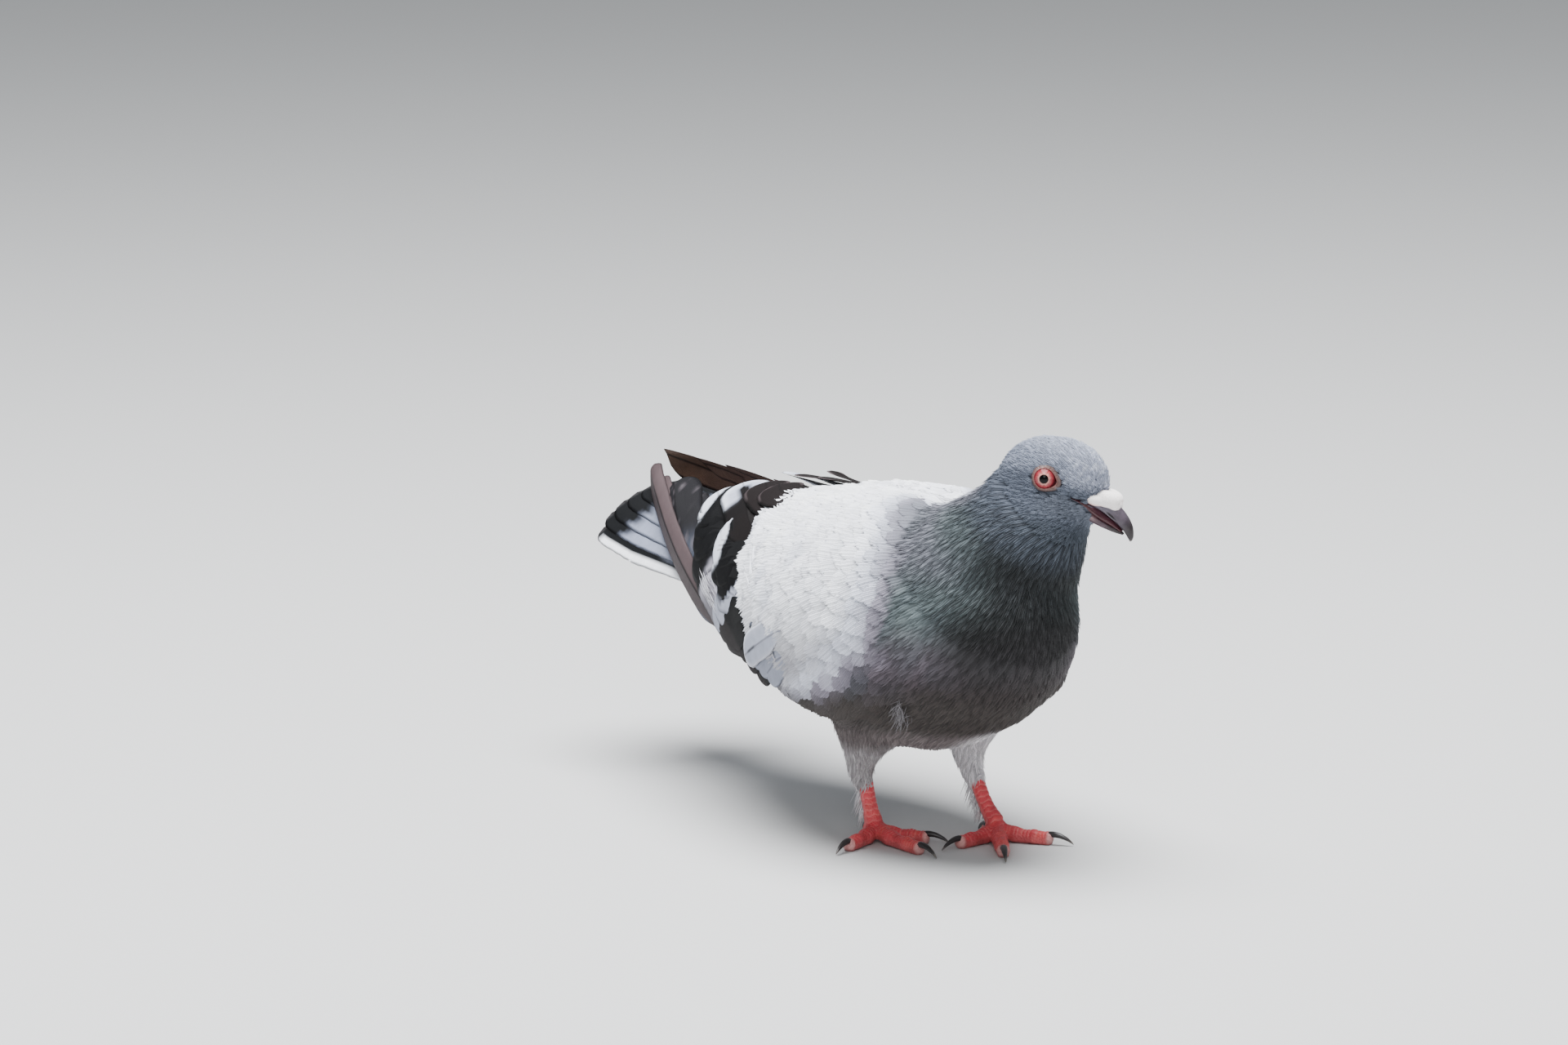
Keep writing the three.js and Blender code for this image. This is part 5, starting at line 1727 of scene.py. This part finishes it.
def wisps(roots, ways, lengths, widths, droop, colours, seed):
    """Closed three-sided tapering blades. Each follows its way from its root and droops towards its tip."""
    chance = np.random.default_rng(seed)
    places, faces, shades = [], [], []
    for root, way, length, width, colour in zip(roots, ways, lengths, widths, colours):
        start = len(places)
        aside = unit(np.cross(way, chance.normal(size=3)))
        other = unit(np.cross(way, aside))
        tone = 0.85 + 0.3 * chance.random()
        for share, thick in ((0, 0.7), (0.35, 1.0), (0.7, 0.7)):
            at = root + way * length * share + np.asarray(droop) * length * share**2
            for turn in (0, THIRD, 2 * THIRD):
                places.append(at + width * thick * (math.cos(turn) * aside + math.sin(turn) * other * 0.5))
        places.append(root + way * length + np.asarray(droop) * length)
        shades += [colour * tone] * 10
        blade = [[2, 1, 0], [6, 7, 9], [7, 8, 9], [8, 6, 9]]
        for row in (0, 3):
            for k in range(3):
                m = (k + 1) % 3
                blade.append([row + k, row + m, row + 3 + m, row + 3 + k])
        local = np.array(places[start:]) - places[start]
        faces += [[v + start for v in face] for face in outward(local, blade)]
    return np.array(places), faces, np.array(shades)


def wisp_piece(name, slot, roots, *given):
    places, faces, shades = wisps(roots, *given)
    mesh = mesh_of(name, in_frame(places), faces)
    write_plumage(mesh, shades)
    write(mesh, "shade", "FLOAT", np.full(len(places), 0.6))
    at = np.arange(len(places))
    within = np.stack([(at % 3) / 2 - 0.5, (at % 10) / 9 - 0.5], 1)
    lay_out(mesh, "OFBake", unwrapped(np.repeat(roots, 10, 0)) + TUFT_PATCH * within)
    mesh.materials.append(vane_finish)
    finished(name, mesh, slot)


chance = np.random.default_rng(5)
for side_name, leg in LEGS.items():
    ankle, foot = np.array(leg["ankle"]), np.array([*leg["foot"], FLOOR_LEVEL + 4.2])
    count = 260
    share = chance.random(count) ** 0.8
    turn = chance.uniform(-1.25, 1.25, count) + math.pi
    out = np.stack([np.cos(turn), np.sin(turn), np.zeros(count)], 1)
    roots = ankle + (foot - ankle) * (share * 0.62)[:, None] + out * 2.2
    ways = unit(0.26 * out + np.array([-0.10, 0, -1.0]) + 0.10 * chance.normal(size=(count, 3)))
    colours = np.tile(srgb(238, 235, 238), (count, 1)) * chance.uniform(0.75, 1.1, (count, 1))
    wisp_piece(
        f"leg_{side_name}_fringe", "thigh_feathers", roots, ways, chance.uniform(4, 8.5, count),
        chance.uniform(0.10, 0.2, count), (0, 0, -0.05), colours, 3,
    )

chance = np.random.default_rng(8)
count = 46
at_x = chance.uniform(-96, -80, count)
at_s = 4 + (at_x + 100) * -0.2 + chance.uniform(0, 8, count)
roots = off_face(at_x + 6, at_s, np.full(count, 0.3))
ways = unit(off_face(at_x - 4, at_s + 3 + chance.normal(size=count), np.full(count, 1.2)) - roots)
for side_name, move in (("right", None), ("left", crossed_wing)):
    here = roots if move is None else move(roots)
    there = ways if move is None else unit(move(roots + ways) - here)
    wisp_piece(
        f"wing_{side_name}_barbs", "covert_feathers", here, there, chance.uniform(4, 8, count),
        chance.uniform(0.06, 0.11, count), (0, 0, 0.12), np.tile(srgb(226, 226, 232), (count, 1)), 4,
    )

FLANK = np.array([[31, -34, 66], [27, -30.5, 57], [24, -26, 50]])
count = 90
share = chance.random(count)
centre = np.stack([np.interp(0.4 + 0.6 * share, [0, 0.5, 1], FLANK[:, k]) for k in range(3)], 1)
roots = centre + chance.normal(size=(count, 3)) * np.array([2.2, 0.6, 1.0])
ways = unit(np.array([-0.35, -0.12, -0.9]) + 0.34 * chance.normal(size=(count, 3)))
wisp_piece(
    "flank_tuft", "body_feathers", roots, ways, chance.uniform(3, 6.5, count),
    chance.uniform(0.1, 0.18, count), (0, 0, -0.1), np.tile(srgb(122, 119, 122), (count, 1)), 6,
)


# ---------------------------------------------------------------- the studio
# A plain pale floor that reaches far past the bird, a large soft light overhead and a weak one in front, a
# faint even light from all round, and the camera.
FLOOR_REACH = 40
corners = [(x * FLOOR_REACH, y * FLOOR_REACH, 0) for x, y in ((-1, -1), (1, -1), (1, 1), (-1, 1))]
floor = on_show("floor", mesh_of("floor", corners, [(0, 1, 2, 3)], smooth=False))
floor_finish, nodes, links, shader = new_material("studio paper", 0.9)
shader.inputs["Base Color"].default_value = (0.56, 0.56, 0.555, 1)
floor.data.materials.append(floor_finish)
floor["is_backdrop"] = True

world = bpy.data.worlds.new("studio")
bpy.context.scene.world = world
world.use_nodes = True
background = world.node_tree.nodes["Background"]
background.inputs["Color"].default_value = (0.9, 0.95, 1.0, 1)
background.inputs["Strength"].default_value = 0.4


def lamp(name, size, power, place, aim, colour=(1, 1, 1)):
    data = bpy.data.lights.new(name, "AREA")
    data.shape = "DISK"
    data.size = size
    data.energy = power
    data.color = colour
    piece = bpy.data.objects.new(name, data)
    bpy.context.scene.collection.objects.link(piece)
    piece.location = place
    piece.rotation_euler = (Vector(aim) - Vector(place)).to_track_quat("-Z", "Y").to_euler()


middle = (0.0, 0.0, 0.08)
lamp("overhead", 1.5, 120, (0.1, -0.1, 1.7), middle, (0.97, 0.98, 1.0))
lamp("front", 0.9, 9, (1.5, -0.9, 1.0), middle)

CAMERA_AZIMUTH = math.radians(62)
CAMERA_ELEVATION = math.radians(10)
back = Vector((
    math.sin(CAMERA_AZIMUTH) * math.cos(CAMERA_ELEVATION),
    -math.cos(CAMERA_AZIMUTH) * math.cos(CAMERA_ELEVATION),
    math.sin(CAMERA_ELEVATION),
))
camera_data = bpy.data.cameras.new("camera")
camera_data.lens = 166.40625
camera_data.sensor_width = 36
camera_data.clip_start = 0.1
camera_data.clip_end = 50
camera = bpy.data.objects.new("camera", camera_data)
bpy.context.scene.collection.objects.link(camera)
camera.location = (2.1845, -1.1885, 0.5426)
camera.rotation_mode = "QUATERNION"
camera.rotation_quaternion = (-back).to_track_quat("-Z", "Y")
bpy.context.scene.camera = camera

low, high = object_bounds()
